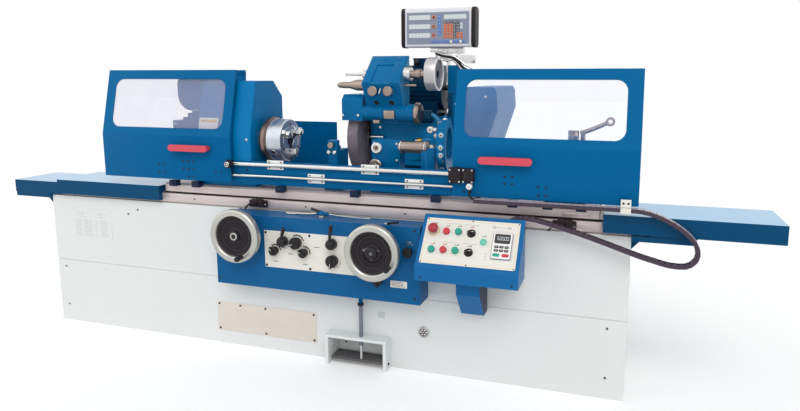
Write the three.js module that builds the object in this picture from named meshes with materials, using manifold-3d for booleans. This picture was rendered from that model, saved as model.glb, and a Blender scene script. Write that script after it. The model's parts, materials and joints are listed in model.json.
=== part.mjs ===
// Cylindrical grinding machine with a sliding work table and two sliding splash doors.
// Millimetres, +X along the bed to the right, +Y to the back, +Z up, origin at the centre of the bed's base.
import * as THREE from "three";
import { mergeVertices } from "three/addons/utils/BufferGeometryUtils.js";
import Module from "manifold-3d";

const wasm = await Module();
wasm.setup();

// Shared clearances, sheet and overrun
const gap = 0.3;
const runningGap = 0.5;
const overrun = 5;
const mergeReach = 0.001;
const coarseSides = 12;
const roundSides = 24;
const wheelSides = 36;

// Bed
const bedLength = 2900;
const bedDepth = 420;
const bedHeight = 684;
const seamHeight = 335;
const seamWidth = 5;
const seamDepth = 3;
const wayHeight = 8;
const wayWidth = 60;
const wayInset = 15;
const ridgeHeight = 14;
const ridgeWidth = 40;
const troughWidth = 62;
const troughDepth = 84;
const troughInset = 92;
const troughEnd = 150;
const recessDepth = 60;

// Rear base with its cross ways and splash sheet
const rearLength = 1200;
const rearDepth = 860;
const rearShift = 50;
const crossWayWidth = 80;
const crossWayHeight = 16;
const crossWaySpacing = 380;
const splashLength = 344;
const splashHeight = 381;
const splashThickness = 6;
const splashFold = 50;
const splashBack = 30;
const splashFromLeft = 191;

// Fixed way trays
const trayReach = 235;
const trayTuck = 75;
const rightTrayStart = 70;
const trayHeight = 68;
const trayRise = 5;
const trayInset = 5;
const trayLipHeight = 22;
const trayLipInset = 5;
const gussetThickness = 3;
const gussetHeight = 48;
const gussetWidth = 45;

// Lower table
const tableShift = 298;
const tableLength = 2090;
const tableWidth = 245;
const lowerTableHeight = 50;
const pivotRadius = 30;
const pivotHeight = 28;
const pistonLugLength = 40;
const pistonLugInset = 290;

// Swivel table
const swivelEndGap = 15;
const swivelWidth = 230;
const swivelHeight = 43;
const swivelChamfer = 10;
const slotWidth = 14;
const slotDepth = 12;

// Moving way covers and trip dogs
const coverLength = 640;
const coverOverhang = 24;
const coverBackOverhang = 7;
const coverRise = 29;
const coverDrop = 6;
const coverThickness = 4;
const dogLength = 95;
const dogHeight = 36;
const dogDepth = 22;
const dogStandoff = 2;
const dogPinRadius = 7;
const leftDogInset = 547;
const rightDogInset = 148;

// Table cylinder
const cylinderLength = 1000;
const cylinderRadius = 22;
const rodRadius = 9;
const cylinderFromLeft = 500;
const rodInside = 200;
const cylinderFootLength = 30;
const cylinderAxisDepth = 41;

// Guard strip, rails and clamps
const stripLength = 2517;
const stripShift = -1348;
const stripHeight = 106;
const stripThickness = 4;
const stripLift = 21;
const stripStandoff = 19;
const upperRailRadius = 7.5;
const lowerRailRadius = 6;
const upperRailDrop = 12;
const lowerRailDrop = 65;
const railStandoff = 12;
const clipLength = 83;
const clipHeight = 40;
const clipThickness = 3;
const clampLength = 40;
const clampTop = 14;
const clampDrop = 20;
const clampNose = 16;
const clampNoseHeight = 29;
const clampNoseLift = 10;
const upperClipShifts = [-398, 67];
const lowerClipShifts = [-193, 268];
const clampShifts = [-958, -830, -376, -6, 364];

// Splash doors
const doorLength = 730;
const doorBottomLift = 27;
const doorLowerHeight = 209;
const doorUpperHeight = 307;
const doorLean = 75;
const doorStandoff = 23;
const doorThickness = 3;
const doorFlange = 20;
const leftDoorShift = -1348;
const rightDoorShift = 442;
const windowLength = 635;
const windowSlant = 240;
const windowSill = 34;
const windowCorner = 45;
const windowInsetRight = 40;
const windowInsetLeft = 50;
const paneOverlap = 14;
const paneThickness = 4;
const handleLength = 216;
const handleHeight = 30;
const handleStandoff = 34;
const handleThickness = 16;
const handlePost = 24;
const handleDrop = 54;
const leftHandleInset = 412;
const rightHandleInset = 113;
const carriageLength = 40;
const carriageHeight = 30;
const leftCarriages = [20, 340];
const rightCarriages = [410, 670];
const bumperRadius = 8;
const bumperLength = 12;
const switchLength = 105;
const switchHeight = 64;
const switchDepth = 30;
const switchOverhang = 10;
const switchKnobRadius = 9;

// Workhead
const axisRise = 215;
const axisBehindPivot = 7.5;
const workheadShift = -528;
const workheadLength = 290;
const workheadFoot = 30;
const workheadFootHeight = 55;
const workheadFront = 15;
const workheadDepth = 292;
const workheadHeight = 493;
const workheadLeanHeight = 238;
const workheadLean = 60;
const workheadChamfer = 76;
const motorLength = 147;
const motorLift = 54;
const motorHeight = 160;
const motorCorner = 75;
const motorTopCorner = 40;
const motorDepth = 226;
const motorFront = 65;
const beltLength = 186;
const beltHeight = 226;
// Steps between the belt box and the motor cover, as shares of the box's length and the cover's lift
const beltStepShares = [
  [0.67, 0.31],
  [0.52, 0.69],
  [0.38, 1],
];
const beltBottom = 75;
const breatherRadius = 33;
const breatherHeight = 50;
const spindleRadius = 45;
const spindleLength = 120;

// Three-jaw chuck
const noseLength = 30;
const noseRadius = 60;
const backPlateLength = 22;
const backPlateRadius = 108;
const chuckLength = 78;
const chuckRadius = 100;
const chuckBore = 26;
const jawWidth = 20;
const jawInner = 40;
const jawLength = 52;
const jawDepth = 22;
const jawProud = 32;
const jawStep = 14;
const jawAngles = [30, 150, 270];

// Tailstock
const tailShift = 812;
const tailLength = 160;
const tailDepth = 210;
const tailHeight = 250;
const tailFront = 10;
const tailChamfer = 60;
const quillRadius = 25;
const quillReach = 80;
const quillInside = 110;
const centreLength = 42;
const tailPostRadius = 12;
const tailPostShares = [0.55, 0.68];
const tailPostHeight = 44;
const tailLeverReach = 105;
const tailLeverRise = 46;
const tailLeverRadius = 6;
const tailKnobRadius = 15;

// Open steady, ring steady and dresser
const steadyDepth = 120;
const steadyFront = 55;
const openSteadyShift = -193;
const openSteadyLength = 90;
const openSteadyHeight = 228;
const openSteadyMouth = 66;
const steadyFootHeight = 60;
const steadyJawRadius = 9;
const steadyJawReach = 70;
const ringShift = 342;
const ringLength = 40;
const ringOuter = 72;
const ringInner = 50;
const ringRise = 115;
const ringScrewRadius = 7;
const ringScrewReach = 40;
const dresserShift = 36;
const dresserLength = 127;
const dresserHeight = 235;
const dresserDepth = 100;
const dresserArmRadius = 27;
const dresserArmDrop = 30;
const dresserRingInset = 24;
const dresserRingDrop = 36;
const dresserDiscDrop = 113;
const dresserDiscRadius = 29;
const dresserArmLength = 140;
const dresserTip = 14;
const dresserPostLength = 60;
const dresserPostShift = 133;
const dresserRingRadius = 21;

// Wheelhead
const wheelX = 177.5;
const wheelRadius = 200;
const wheelWidth = 55;
const wheelAxisBehindBed = -5;
const wheelSpindleRadius = 30;
const wheelSpindleLength = 360;
const flangeRadius = 85;
const flangeExtra = 12;
const saddleLength = 540;
const saddleDepth = 560;
const saddleHeight = 180;
const saddleLeft = 50;
const saddleSetback = 20;
const headLeft = 240;
const headLength = 390;
const headDepth = 570;
const headHeight = 220;
const headAhead = 85;
const guardLength = 105;
const guardRadius = 215;
const guardWall = 10;
const guardTail = 220;
const guardMouth = 94;
const guardCorner = 25;
const nozzleRadius = 9;
const nozzleReach = 60;

// Belt cover and readout
const beltCoverLength = 216;
const beltCoverDepth = 500;
const beltCoverRise = 150;
const beltCoverDrop = 200;
const beltCoverSetback = 20;
const readoutLength = 355;
const readoutHeight = 182;
const readoutDepth = 80;
const readoutLift = 180;
const readoutLeft = 386;
const armThickness = 30;
const armPostWidth = 32;
const armPostFromLeft = 256;
const readoutColumnFromLeft = 220;
const readoutColumnLength = 66;
const readoutColumnHeight = 250;

// Internal grinding bracket
const hingeAhead = 95;
const hingeRise = 30;
const hingeRadius = 38;
const hingePin = 14;
const lugLeft = 14;
const lugRight = 24;
const driveMotorFromLeft = 80;
const driveMotorLength = 205;
const driveMotorRadius = 110;
const driveMotorBack = 285;
const driveFootHeight = 30;
const driveFootInset = 20;
const driveFootWidth = 180;
const driveBoxFromLeft = 45;
const driveBoxLength = 85;
const driveBoxWidth = 90;
const driveBoxHeight = 35;
const driveShaftRadius = 12;
const drivePulleyRadius = 55;
const flangeDiscRadius = 42;
const flangeDiscLength = 25;
const bracketLength = 184;
const bracketTop = 262;
const bracketFront = 75;
const bracketBack = 62;
const bracketFace = 136;
const bracketUndercut = 60;
const bracketSill = 25;
const upperAxisRise = 178;
const spareAxisRise = 128;
const spareAxisAhead = 20;
const internalRadius = 17.5;
const internalTip = 7.5;
const internalReach = 113;
const collarRadius = 20;
const collarLength = 22;
const sleeveRadius = 33;
const sleeveLength = 33;
const cupRadius = 75;
const cupLength = 52;
const cupWall = 8;
const cupStart = 112;
const spareReach = 130;
const spareRadius = 26;
const spareTip = 13;
const barRadius = 6;
const barReach = 60;

// Apron and its controls
const apronLeft = -368;
const apronLength = 992;
const apronHeight = 334;
const apronDepth = 110;
const apronChamfer = 60;
const plateLeft = 258;
const plateLength = 450;
const plateBottom = 102;
const plateHeight = 168;
const plateThickness = 2;
const handwheelRadius = 120;
const handwheelRim = 30;
const rimThickness = 26;
const handwheelReach = 90;
const hubRadius = 24;
const webThickness = 8;
const stemRadius = 8;
const stemDepth = 25;
const crankRadius = 11;
const crankLength = 48;
const crankDistance = 97;
const knobFlare = 4;
const leverBall = 8;

// Table of the apron's controls: name, place from the apron's left end and bottom, radius and length
const wheelPlaces = [
  { name: "left_handwheel", right: 156, up: 252, crankAngle: -63 },
  { name: "right_handwheel", right: 807, up: 231, crankAngle: -30 },
];
const knobPlaces = [
  { name: "feed_rate_knob", right: 423, up: 227, radius: 26, length: 30 },
  { name: "dwell_left_knob", right: 313, up: 183, radius: 20, length: 28 },
  { name: "dwell_right_knob", right: 459, up: 185, radius: 20, length: 28 },
  { name: "table_speed_knob", right: 598, up: 161, radius: 26, length: 30 },
  { name: "fine_feed_knob", right: 808, up: 94, radius: 20, length: 26 },
  { name: "coolant_knob", right: 943, up: 230, radius: 20, length: 26 },
];
const leverPlaces = [
  { name: "table_reverse_lever", right: 358, up: 228, reach: 65, angle: 72 },
  { name: "table_drive_lever", right: 595, up: 235, reach: 85, angle: 82 },
];
const leverHub = 24;
const leverHubLength = 44;
const leverArmRadius = 6;

// Desk
const deskLeft = 635;
const deskLength = 415;
const deskDrop = 187;
const deskHeight = 240;
const deskDepth = 150;
const deskStandoff = 68;
const deskLipHeight = 58;
const deskTopDepth = 4;
const columnFromDesk = 153;
const columnWidth = 98;
const columnDrop = 179;
const columnFootDepth = 60;
const panelLength = 385;
const panelWidth = 200;
const panelThickness = 2;
const buttonStem = 7;
const buttonStemDepth = 16;
const buttonCollarHeight = 4;
const deskButtons = [
  { name: "emergency_stop", right: -154, up: 44, radius: 20, height: 30 },
  { name: "red_button_upper", right: -100, up: 40, radius: 14, height: 12 },
  { name: "green_button_upper", right: -51, up: 42, radius: 14, height: 12 },
  { name: "selector_upper", right: 1, up: 41, radius: 14, height: 22 },
  { name: "green_button_left", right: -149, up: -42, radius: 14, height: 12 },
  { name: "red_button_lower", right: -100, up: -41, radius: 14, height: 12 },
  { name: "green_button_lower", right: -51, up: -40, radius: 14, height: 12 },
  { name: "selector_lower", right: 2, up: -41, radius: 14, height: 22 },
];
const buttonTravel = 5;
const chainBlock = 40;

// Pedal
const hoodLeft = 148;
const hoodLength = 298;
const hoodHeight = 142;
const hoodDepth = 58;
const hoodWall = 16;
const hoodLid = 14;
const recessFloor = 8;
const pedalThickness = 12;
const pedalRise = 22;
const pedalFront = 40;
const pedalBack = 50;
const pedalSideGap = 6;
const pedalHingeInset = 5;
const pedalPin = 5;
const pedalRodRadius = 9;
const pedalCollarRadius = 14;
const pedalRodAhead = 30;
const pedalRodRight = 20;
const pedalRodInside = 50;

// Energy chain, as a centre line of places from the middle of the bed and its top
const chainHeight = 18;
const chainWidth = 30;
const chainFront = 62;
const chainPlaces = [
  [850, 115],
  [1150, 115],
  [1410, 115],
  [1500, 109],
  [1572, 84],
  [1630, 50],
  [1670, 10],
  [1685, -30],
  [1676, -64],
  [1645, -86],
  [1590, -87],
  [1530, -74],
  [1461, -55],
  [1300, -4],
  [1180, 29],
  [1080, 52],
  [1020, 52],
  [980, 34],
  [958, 6],
];
const chainBracketLeft = 1107;
const chainBracketLength = 38;
const chainBracketThickness = 3;
const chainBracketRise = 33;

// Heights, edges and centres that follow from the sizes above
const bedLeft = -bedLength / 2;
const bedRight = bedLength / 2;
const bedFront = -bedDepth / 2;
const bedBack = bedDepth / 2;
const apronBottom = bedHeight - apronHeight;
const deskBottom = bedHeight - deskDrop;
const chainRoute = chainPlaces.map(([x, z]) => [x, bedHeight + z]);
const swivelLength = tableLength - swivelEndGap * 2;
const tableBottom = bedHeight + wayHeight;
const lowerTableTop = tableBottom + lowerTableHeight;
const tableTop = lowerTableTop + swivelHeight;
const tableLeft = tableShift - tableLength / 2;
const tableRight = tableShift + tableLength / 2;
const pivotY = bedFront + tableWidth / 2;
const swivelFront = pivotY - swivelWidth / 2;
const swivelBack = swivelFront + swivelWidth;
const axisZ = tableTop + axisRise;
const axisY = pivotY + axisBehindPivot;
const wheelY = bedBack + wheelAxisBehindBed;
const rearLeft = rearShift - rearLength / 2;
const stripFront = swivelFront - stripStandoff;
const stripBottom = tableTop + stripLift;
const stripTop = stripBottom + stripHeight;
const railY = stripFront - railStandoff;
const upperRailZ = stripTop - upperRailDrop;
const lowerRailZ = stripTop - lowerRailDrop;
const doorInner = stripFront - doorStandoff;
const doorBottom = tableTop + doorBottomLift;
const doorFold = doorBottom + doorLowerHeight;
const doorTop = doorFold + doorUpperHeight;
const saddleBottom = bedHeight + crossWayHeight;
const headBottom = saddleBottom + saddleHeight;
const headTop = headBottom + headHeight;
const headFront = wheelY - headAhead;
const headRight = headLeft + headLength;
const hingeY = headFront - hingeAhead;
const hingeZ = headTop + hingeRise;
const guardLeft = headLeft - guardLength;
const guardBottom = axisZ - guardRadius;
const bracketLeft = headLeft + lugLeft + runningGap;
const bracketRight = bracketLeft + bracketLength;
const apronTop = bedHeight;
const apronFront = bedFront - apronDepth;
const deskBack = bedFront - deskStandoff;
const deskFront = deskBack - deskDepth;
const deskTop = deskBottom + deskHeight;

// Colours and finishes
const paint = (colour, roughness, metalness) => new THREE.MeshStandardMaterial({ color: colour, roughness, metalness });
const finishes = {
  white: paint(0xe4e7e6, 0.45, 0),
  blue: paint(0x005c99, 0.4, 0),
  skyBlue: paint(0x1e69a5, 0.4, 0),
  steel: paint(0xb9b7ae, 0.3, 1),
  castIron: paint(0x8a8780, 0.5, 0.8),
  black: paint(0x1c1c1f, 0.5, 0),
  red: paint(0xe1202f, 0.4, 0),
  green: paint(0x1d9a55, 0.4, 0),
  glass: paint(0xdfe9ee, 0.05, 0),
  abrasive: paint(0x6e6a64, 0.95, 0),
  chain: paint(0x4a3f4c, 0.7, 0),
  chrome: paint(0xd8dadc, 0.12, 1),
};

// Basis matrices that stand a shape or a turned body along each axis
const vector = (x, y, z) => new THREE.Vector3(x, y, z);
const basis = (x, y, z) => new THREE.Matrix4().makeBasis(vector(...x), vector(...y), vector(...z));
const shapeAlong = {
  x: basis([0, 1, 0], [0, 0, 1], [1, 0, 0]),
  y: basis([1, 0, 0], [0, 0, 1], [0, -1, 0]),
  z: basis([1, 0, 0], [0, 1, 0], [0, 0, 1]),
};
const turnedAlong = {
  x: basis([0, 0, 1], [1, 0, 0], [0, 1, 0]),
  y: basis([1, 0, 0], [0, 1, 0], [0, 0, 1]),
  z: basis([1, 0, 0], [0, 0, 1], [0, -1, 0]),
};

// A closed geometry as a solid that can be joined and cut
function solid(geometry) {
  const bare = geometry.clone();
  bare.deleteAttribute("normal");
  bare.deleteAttribute("uv");
  const merged = mergeVertices(bare, mergeReach);
  const triangles = [];
  for (let i = 0; i < merged.index.count; i += 3) {
    const [a, b, c] = [0, 1, 2].map((k) => merged.index.getX(i + k));
    if (a !== b && b !== c && c !== a) triangles.push(a, b, c);
  }
  const build = (list) =>
    new wasm.Manifold(
      new wasm.Mesh({
        numProp: 3,
        vertProperties: Float32Array.from(merged.attributes.position.array),
        triVerts: Uint32Array.from(list),
      }),
    );
  const made = build(triangles);
  if (made.volume() > 0) return made;
  for (let i = 0; i < triangles.length; i += 3) {
    [triangles[i + 1], triangles[i + 2]] = [triangles[i + 2], triangles[i + 1]];
  }
  return build(triangles);
}

function box(x0, x1, y0, y1, z0, z1) {
  const geometry = new THREE.BoxGeometry(x1 - x0, y1 - y0, z1 - z0);
  return solid(geometry.translate((x0 + x1) / 2, (y0 + y1) / 2, (z0 + z1) / 2));
}

// A prism along an axis: outline points are (y, z) for x, (x, z) for y and (x, y) for z
function prism(axis, points, from, to) {
  const shape = points instanceof THREE.Shape ? points : new THREE.Shape(points.map(([a, b]) => new THREE.Vector2(a, b)));
  const geometry = new THREE.ExtrudeGeometry(shape, { depth: to - from, bevelEnabled: false, curveSegments: coarseSides / 4 });
  geometry.applyMatrix4(shapeAlong[axis]);
  const places = { x: [from, 0, 0], y: [0, to, 0], z: [0, 0, from] };
  return solid(geometry.translate(...places[axis]));
}

// A turned body along an axis through a point, from a list of (radius, distance) pairs
function turned(axis, centre, profile, segments) {
  const start = profile[0][1];
  const end = profile[profile.length - 1][1];
  const closed = [[0, start], ...profile, [0, end]];
  const points = closed.map(([r, t]) => new THREE.Vector2(r, t));
  const geometry = new THREE.LatheGeometry(points, segments);
  geometry.applyMatrix4(turnedAlong[axis]);
  return solid(geometry.translate(...centre));
}

function rod(axis, radius, centre, from, to, segments = roundSides) {
  return turned(axis, centre, [[radius, from], [radius, to]], segments);
}

// A ring along an axis, open in the middle
function ring(axis, outer, inner, centre, from, to, segments = roundSides) {
  const hole = rod(axis, inner, centre, from - overrun, to + overrun, segments);
  return rod(axis, outer, centre, from, to, segments).subtract(hole);
}

const join = (pieces) => pieces.reduce((a, b) => a.add(b));
const cut = (piece, tools) => tools.reduce((a, b) => a.subtract(b), piece);

const group = new THREE.Group();
function place(name, piece, finish) {
  const mesh = piece.getMesh();
  const geometry = new THREE.BufferGeometry();
  geometry.setAttribute("position", new THREE.BufferAttribute(mesh.vertProperties, 3));
  geometry.setIndex(new THREE.BufferAttribute(mesh.triVerts, 1));
  geometry.computeVertexNormals();
  const node = new THREE.Mesh(geometry, finishes[finish]);
  node.name = name;
  group.add(node);
  return node;
}

// The V ridge of a way, or its groove when grown by a clearance
function ridge(from, to, grow) {
  const centre = bedBack - (bedDepth - tableWidth) - wayInset - wayWidth / 2;
  const half = ridgeWidth / 2 + grow * 3;
  const top = tableBottom + ridgeHeight + grow;
  return prism("x", [[centre - half, tableBottom - grow], [centre + half, tableBottom - grow], [centre, top]], from, to);
}

function makeBed() {
  const frontWay = bedFront + wayInset;
  const rearWay = bedFront + tableWidth - wayInset - wayWidth;
  const body = box(bedLeft, bedRight, bedFront, bedBack, 0, bedHeight);
  const ways = [frontWay, rearWay].map((y) => box(bedLeft, bedRight, y, y + wayWidth, bedHeight - wayHeight, tableBottom));
  const seam = box(bedLeft - overrun, bedRight + overrun, bedFront - overrun, bedFront + seamDepth, seamHeight, seamHeight + seamWidth);
  const troughFront = bedFront + troughInset;
  const trough = box(
    bedLeft + troughEnd,
    bedRight - troughEnd,
    troughFront,
    troughFront + troughWidth,
    bedHeight - troughDepth,
    tableBottom + overrun,
  );
  const recess = box(
    hoodLeft + hoodWall,
    hoodLeft + hoodLength - hoodWall,
    bedFront - overrun,
    bedFront + recessDepth,
    recessFloor,
    hoodHeight - hoodLid,
  );
  place("bed", cut(join([body, ...ways, ridge(bedLeft, bedRight, 0)]), [seam, trough, recess]), "white");
}

function makeRearBase() {
  const body = box(rearLeft, rearLeft + rearLength, bedBack, bedBack + rearDepth, 0, bedHeight);
  const middle = saddleLeft + saddleLength / 2;
  const ways = [-1, 1].map((side) => {
    const x = middle + (side * crossWaySpacing) / 2;
    return box(x - crossWayWidth / 2, x + crossWayWidth / 2, bedBack, bedBack + rearDepth, bedHeight - crossWayHeight, saddleBottom);
  });
  const splashLeft = rearLeft + splashFromLeft;
  const splashY = bedBack + splashBack;
  const sheet = box(splashLeft, splashLeft + splashLength, splashY, splashY + splashThickness, bedHeight - overrun, bedHeight + splashHeight);
  const fold = box(splashLeft, splashLeft + splashThickness, splashY, splashY + splashFold, bedHeight - overrun, bedHeight + splashHeight);
  place("rear_base", join([body, ...ways, sheet, fold]), "white");
}

// A way tray is a box over the bed's end with a lip and a gusset under its outer part
function makeWayTray(name, side, inner, outer) {
  const [x0, x1] = [Math.min(inner, outer), Math.max(inner, outer)];
  const front = bedFront - coverOverhang + coverThickness + trayInset;
  const back = bedFront + tableWidth + coverBackOverhang - coverThickness - trayInset;
  const bottom = tableBottom + runningGap;
  const end = side > 0 ? bedRight : bedLeft;
  const top = box(x0, x1, front, back, bottom, bottom + trayHeight - trayRise);
  const lipInner = end + side * gap;
  const lipOuter = outer - side * trayLipInset;
  const lipTop = tableBottom - gap;
  const lipMiddle = lipTop - trayLipHeight / 2;
  const span = (a, b, low, high) => box(Math.min(a, b), Math.max(a, b), front, back, low, high);
  const lip = span(lipInner, lipOuter, lipTop - trayLipHeight, lipTop);
  const joinStart = side > 0 ? Math.max(inner, lipInner) : Math.min(inner, lipInner);
  const joint = span(joinStart, lipOuter, lipMiddle, bottom + trayRise);
  const gusset = prism(
    "y",
    [[lipInner, lipMiddle], [lipInner, lipMiddle - gussetHeight], [lipInner + side * gussetWidth, lipMiddle]],
    bedFront + trayInset,
    bedFront + trayInset + gussetThickness,
  );
  place(name, join([top, lip, joint, gusset]).subtract(ridge(x0 - overrun, x1 + overrun, runningGap)), "blue");
}

function makeLowerTable() {
  const back = bedFront + tableWidth;
  const slab = box(tableLeft, tableRight, bedFront, back, tableBottom, lowerTableTop);
  const pin = rod("z", pivotRadius, [tableShift, pivotY, 0], lowerTableTop - overrun, lowerTableTop + pivotHeight);
  const lugX = tableRight - pistonLugInset;
  const lugY = bedFront + troughInset + troughWidth / 2;
  const half = cylinderRadius;
  const lug = box(lugX, lugX + pistonLugLength, lugY - half, lugY + half, bedHeight - cylinderAxisDepth - half, tableBottom + overrun);
  const bore = rod("x", rodRadius + gap, [lugX, lugY, bedHeight - cylinderAxisDepth], -overrun, pistonLugLength / 2);
  place("lower_table", cut(join([slab, pin, lug]), [ridge(tableLeft - overrun, tableRight + overrun, runningGap), bore]), "steel");
}

// The table cylinder lies in the bed's trough and its rod pulls a lug under the table
function makeTableCylinder() {
  const y = bedFront + troughInset + troughWidth / 2;
  const z = bedHeight - cylinderAxisDepth;
  const left = bedLeft + cylinderFromLeft;
  const right = left + cylinderLength;
  const barrel = rod("x", cylinderRadius, [0, y, z], left, right);
  const feet = [left, right - cylinderFootLength].map((x) =>
    box(x, x + cylinderFootLength, y - cylinderRadius, y + cylinderRadius, bedHeight - troughDepth, z),
  );
  const bore = rod("x", rodRadius + gap, [0, y, z], left + cylinderFootLength, right + overrun);
  place("table_cylinder", cut(join([barrel, ...feet]), [bore]), "steel");
  const lugX = tableRight - pistonLugInset;
  place("table_piston_rod", rod("x", rodRadius, [0, y, z], right - rodInside, lugX + pistonLugLength / 2 - gap), "chrome");
}

function makeSwivelTable() {
  const [x0, x1] = [tableShift - swivelLength / 2, tableShift + swivelLength / 2];
  const outline = [
    [swivelFront, lowerTableTop],
    [swivelBack, lowerTableTop],
    [swivelBack, tableTop],
    [swivelFront + swivelChamfer, tableTop],
    [swivelFront, tableTop - swivelChamfer],
  ];
  const slab = prism("x", outline, x0, x1);
  const bore = rod("z", pivotRadius + gap, [tableShift, pivotY, 0], lowerTableTop - overrun, lowerTableTop + pivotHeight + gap);
  const slotZ = (lowerTableTop + tableTop) / 2;
  const slot = box(x0 - overrun, x1 + overrun, swivelBack - slotDepth, swivelBack + overrun, slotZ - slotWidth / 2, slotZ + slotWidth / 2);
  place("swivel_table", cut(slab, [bore, slot]), "steel");
}

// A moving way cover is a downward channel with a plate at the table's end
function makeWayCover(name, side) {
  const inner = side > 0 ? tableRight : tableLeft;
  const outer = inner + side * coverLength;
  const [x0, x1] = [Math.min(inner, outer), Math.max(inner, outer)];
  const front = bedFront - coverOverhang;
  const back = bedFront + tableWidth + coverBackOverhang;
  const top = lowerTableTop + coverRise;
  const bottom = tableBottom + coverDrop;
  const shell = box(x0, x1, front, back, bottom, top);
  const h0 = side > 0 ? x0 + coverThickness : x0 - overrun;
  const h1 = side > 0 ? x1 + overrun : x1 - coverThickness;
  const hollow = box(h0, h1, front + coverThickness, back - coverThickness, bottom - overrun, top - coverThickness);
  place(name, cut(shell, [hollow, ridge(x0 - overrun, x1 + overrun, runningGap)]), "blue");
}

function makeTripDog(name, x) {
  const back = bedFront - dogStandoff / 4;
  const front = back - dogDepth;
  const body = box(x - dogLength / 2, x + dogLength / 2, front, back, tableBottom + dogStandoff * 3, tableBottom + dogStandoff * 3 + dogHeight);
  const pin = rod("y", dogPinRadius, [x, 0, tableBottom + dogHeight / 2 + dogStandoff * 3], front - dogPinRadius, front + dogPinRadius, coarseSides);
  place(name, body.add(pin), "castIron");
}

// The energy chain is a band that follows its centre line in one upright plane
function makeChain() {
  const curve = new THREE.SplineCurve(chainRoute.map(([x, z]) => new THREE.Vector2(x, z)));
  const count = chainRoute.length * 3;
  const upper = [];
  const lower = [];
  for (let i = 0; i <= count; i++) {
    const point = curve.getPoint(i / count);
    const tangent = curve.getTangent(i / count);
    upper.push([point.x - (tangent.y * chainHeight) / 2, point.y + (tangent.x * chainHeight) / 2]);
    lower.push([point.x + (tangent.y * chainHeight) / 2, point.y - (tangent.x * chainHeight) / 2]);
  }
  const front = bedFront - chainFront;
  place("energy_chain", prism("y", [...upper, ...lower.reverse()], front, front + chainWidth), "chain");
}

function makeGuardStrip() {
  const left = tableShift + stripShift;
  const right = left + stripLength;
  const back = stripFront + stripThickness;
  const sheet = box(left, right, stripFront, back, stripBottom, stripTop);
  const clips = (shifts, z, radius) =>
    shifts.map((shift) => {
      const x = tableShift + shift;
      const plate = box(
        x - clipLength / 2,
        x + clipLength / 2,
        stripFront - clipThickness,
        stripFront + clipThickness / 2,
        z - clipHeight / 2,
        z + clipHeight / 2,
      );
      const block = box(x - clipLength / 2, x + clipLength / 2, railY, stripFront, z - radius / 2, z + radius / 2);
      return plate.add(block);
    });
  const rails = [
    rod("x", upperRailRadius, [0, railY, upperRailZ], left, right, coarseSides),
    rod("x", lowerRailRadius, [0, railY, lowerRailZ], left, right, coarseSides),
  ];
  const ends = [left, right - clampTop].map((x) => box(x, x + clampTop, railY - lowerRailRadius / 2, stripFront, lowerRailZ, upperRailZ));
  const clamps = clampShifts.map((shift) => {
    const x = tableShift + shift;
    const [a, b] = [x - clampLength / 2, x + clampLength / 2];
    const grip = box(a, b, back - stripThickness / 2, swivelFront, tableTop - clampDrop, stripBottom + clampTop);
    const nose = box(a, b, stripFront - clampNose, back, tableTop - clampNoseLift, tableTop - clampNoseLift + clampNoseHeight);
    return grip.add(nose);
  });
  const b0 = tableShift + chainBracketLeft;
  const b1 = b0 + chainBracketLength;
  const armBottom = chainRoute[0][1] + chainHeight / 2 + gap;
  const frontPlate = bedFront - chainFront - gap;
  const arm = box(b0, b1, frontPlate, back, armBottom, armBottom + chainBracketThickness);
  const hanger = box(
    b0,
    b1,
    frontPlate - chainBracketThickness,
    frontPlate,
    armBottom - chainHeight,
    armBottom + chainBracketRise,
  );
  place(
    "guard_strip",
    join([
      sheet,
      ...clips(upperClipShifts, upperRailZ - clipHeight / 4, upperRailRadius),
      ...clips(lowerClipShifts, lowerRailZ, lowerRailRadius),
      ...rails,
      ...ends,
      ...clamps,
      arm,
      hanger,
    ]),
    "blue",
  );
}

// The door's section at a distance behind its inner face, between two distances
function doorSection(near, far) {
  const slant = Math.hypot(doorUpperHeight, doorLean);
  const foldShift = doorLean / (slant + doorUpperHeight);
  const edge = (offset) => [
    [doorInner + offset, doorBottom],
    [doorInner + offset, doorFold - offset * foldShift],
    [doorInner + doorLean + (offset * doorUpperHeight) / slant, doorTop - (offset * doorLean) / slant],
  ];
  return [...edge(near), ...edge(far).reverse()];
}

// A rounded panel that leans with the door's upper part, between two distances behind its inner face
function leaningPanel(x0, x1, up0, up1, corner, near, far) {
  const shape = new THREE.Shape();
  shape.moveTo(x0 + corner, up0);
  shape.lineTo(x1 - corner, up0);
  shape.absarc(x1 - corner, up0 + corner, corner, -Math.PI / 2, 0, false);
  shape.lineTo(x1, up1 - corner);
  shape.absarc(x1 - corner, up1 - corner, corner, 0, Math.PI / 2, false);
  shape.lineTo(x0 + corner, up1);
  shape.absarc(x0 + corner, up1 - corner, corner, Math.PI / 2, Math.PI, false);
  shape.lineTo(x0, up0 + corner);
  shape.absarc(x0 + corner, up0 + corner, corner, Math.PI, Math.PI * 1.5, false);
  const geometry = new THREE.ExtrudeGeometry(shape, { depth: far - near, bevelEnabled: false, curveSegments: coarseSides / 4 });
  geometry.translate(0, 0, -far);
  geometry.rotateX(Math.PI / 2 - Math.atan2(doorLean, doorUpperHeight));
  return solid(geometry.translate(0, doorInner, doorFold));
}

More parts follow.
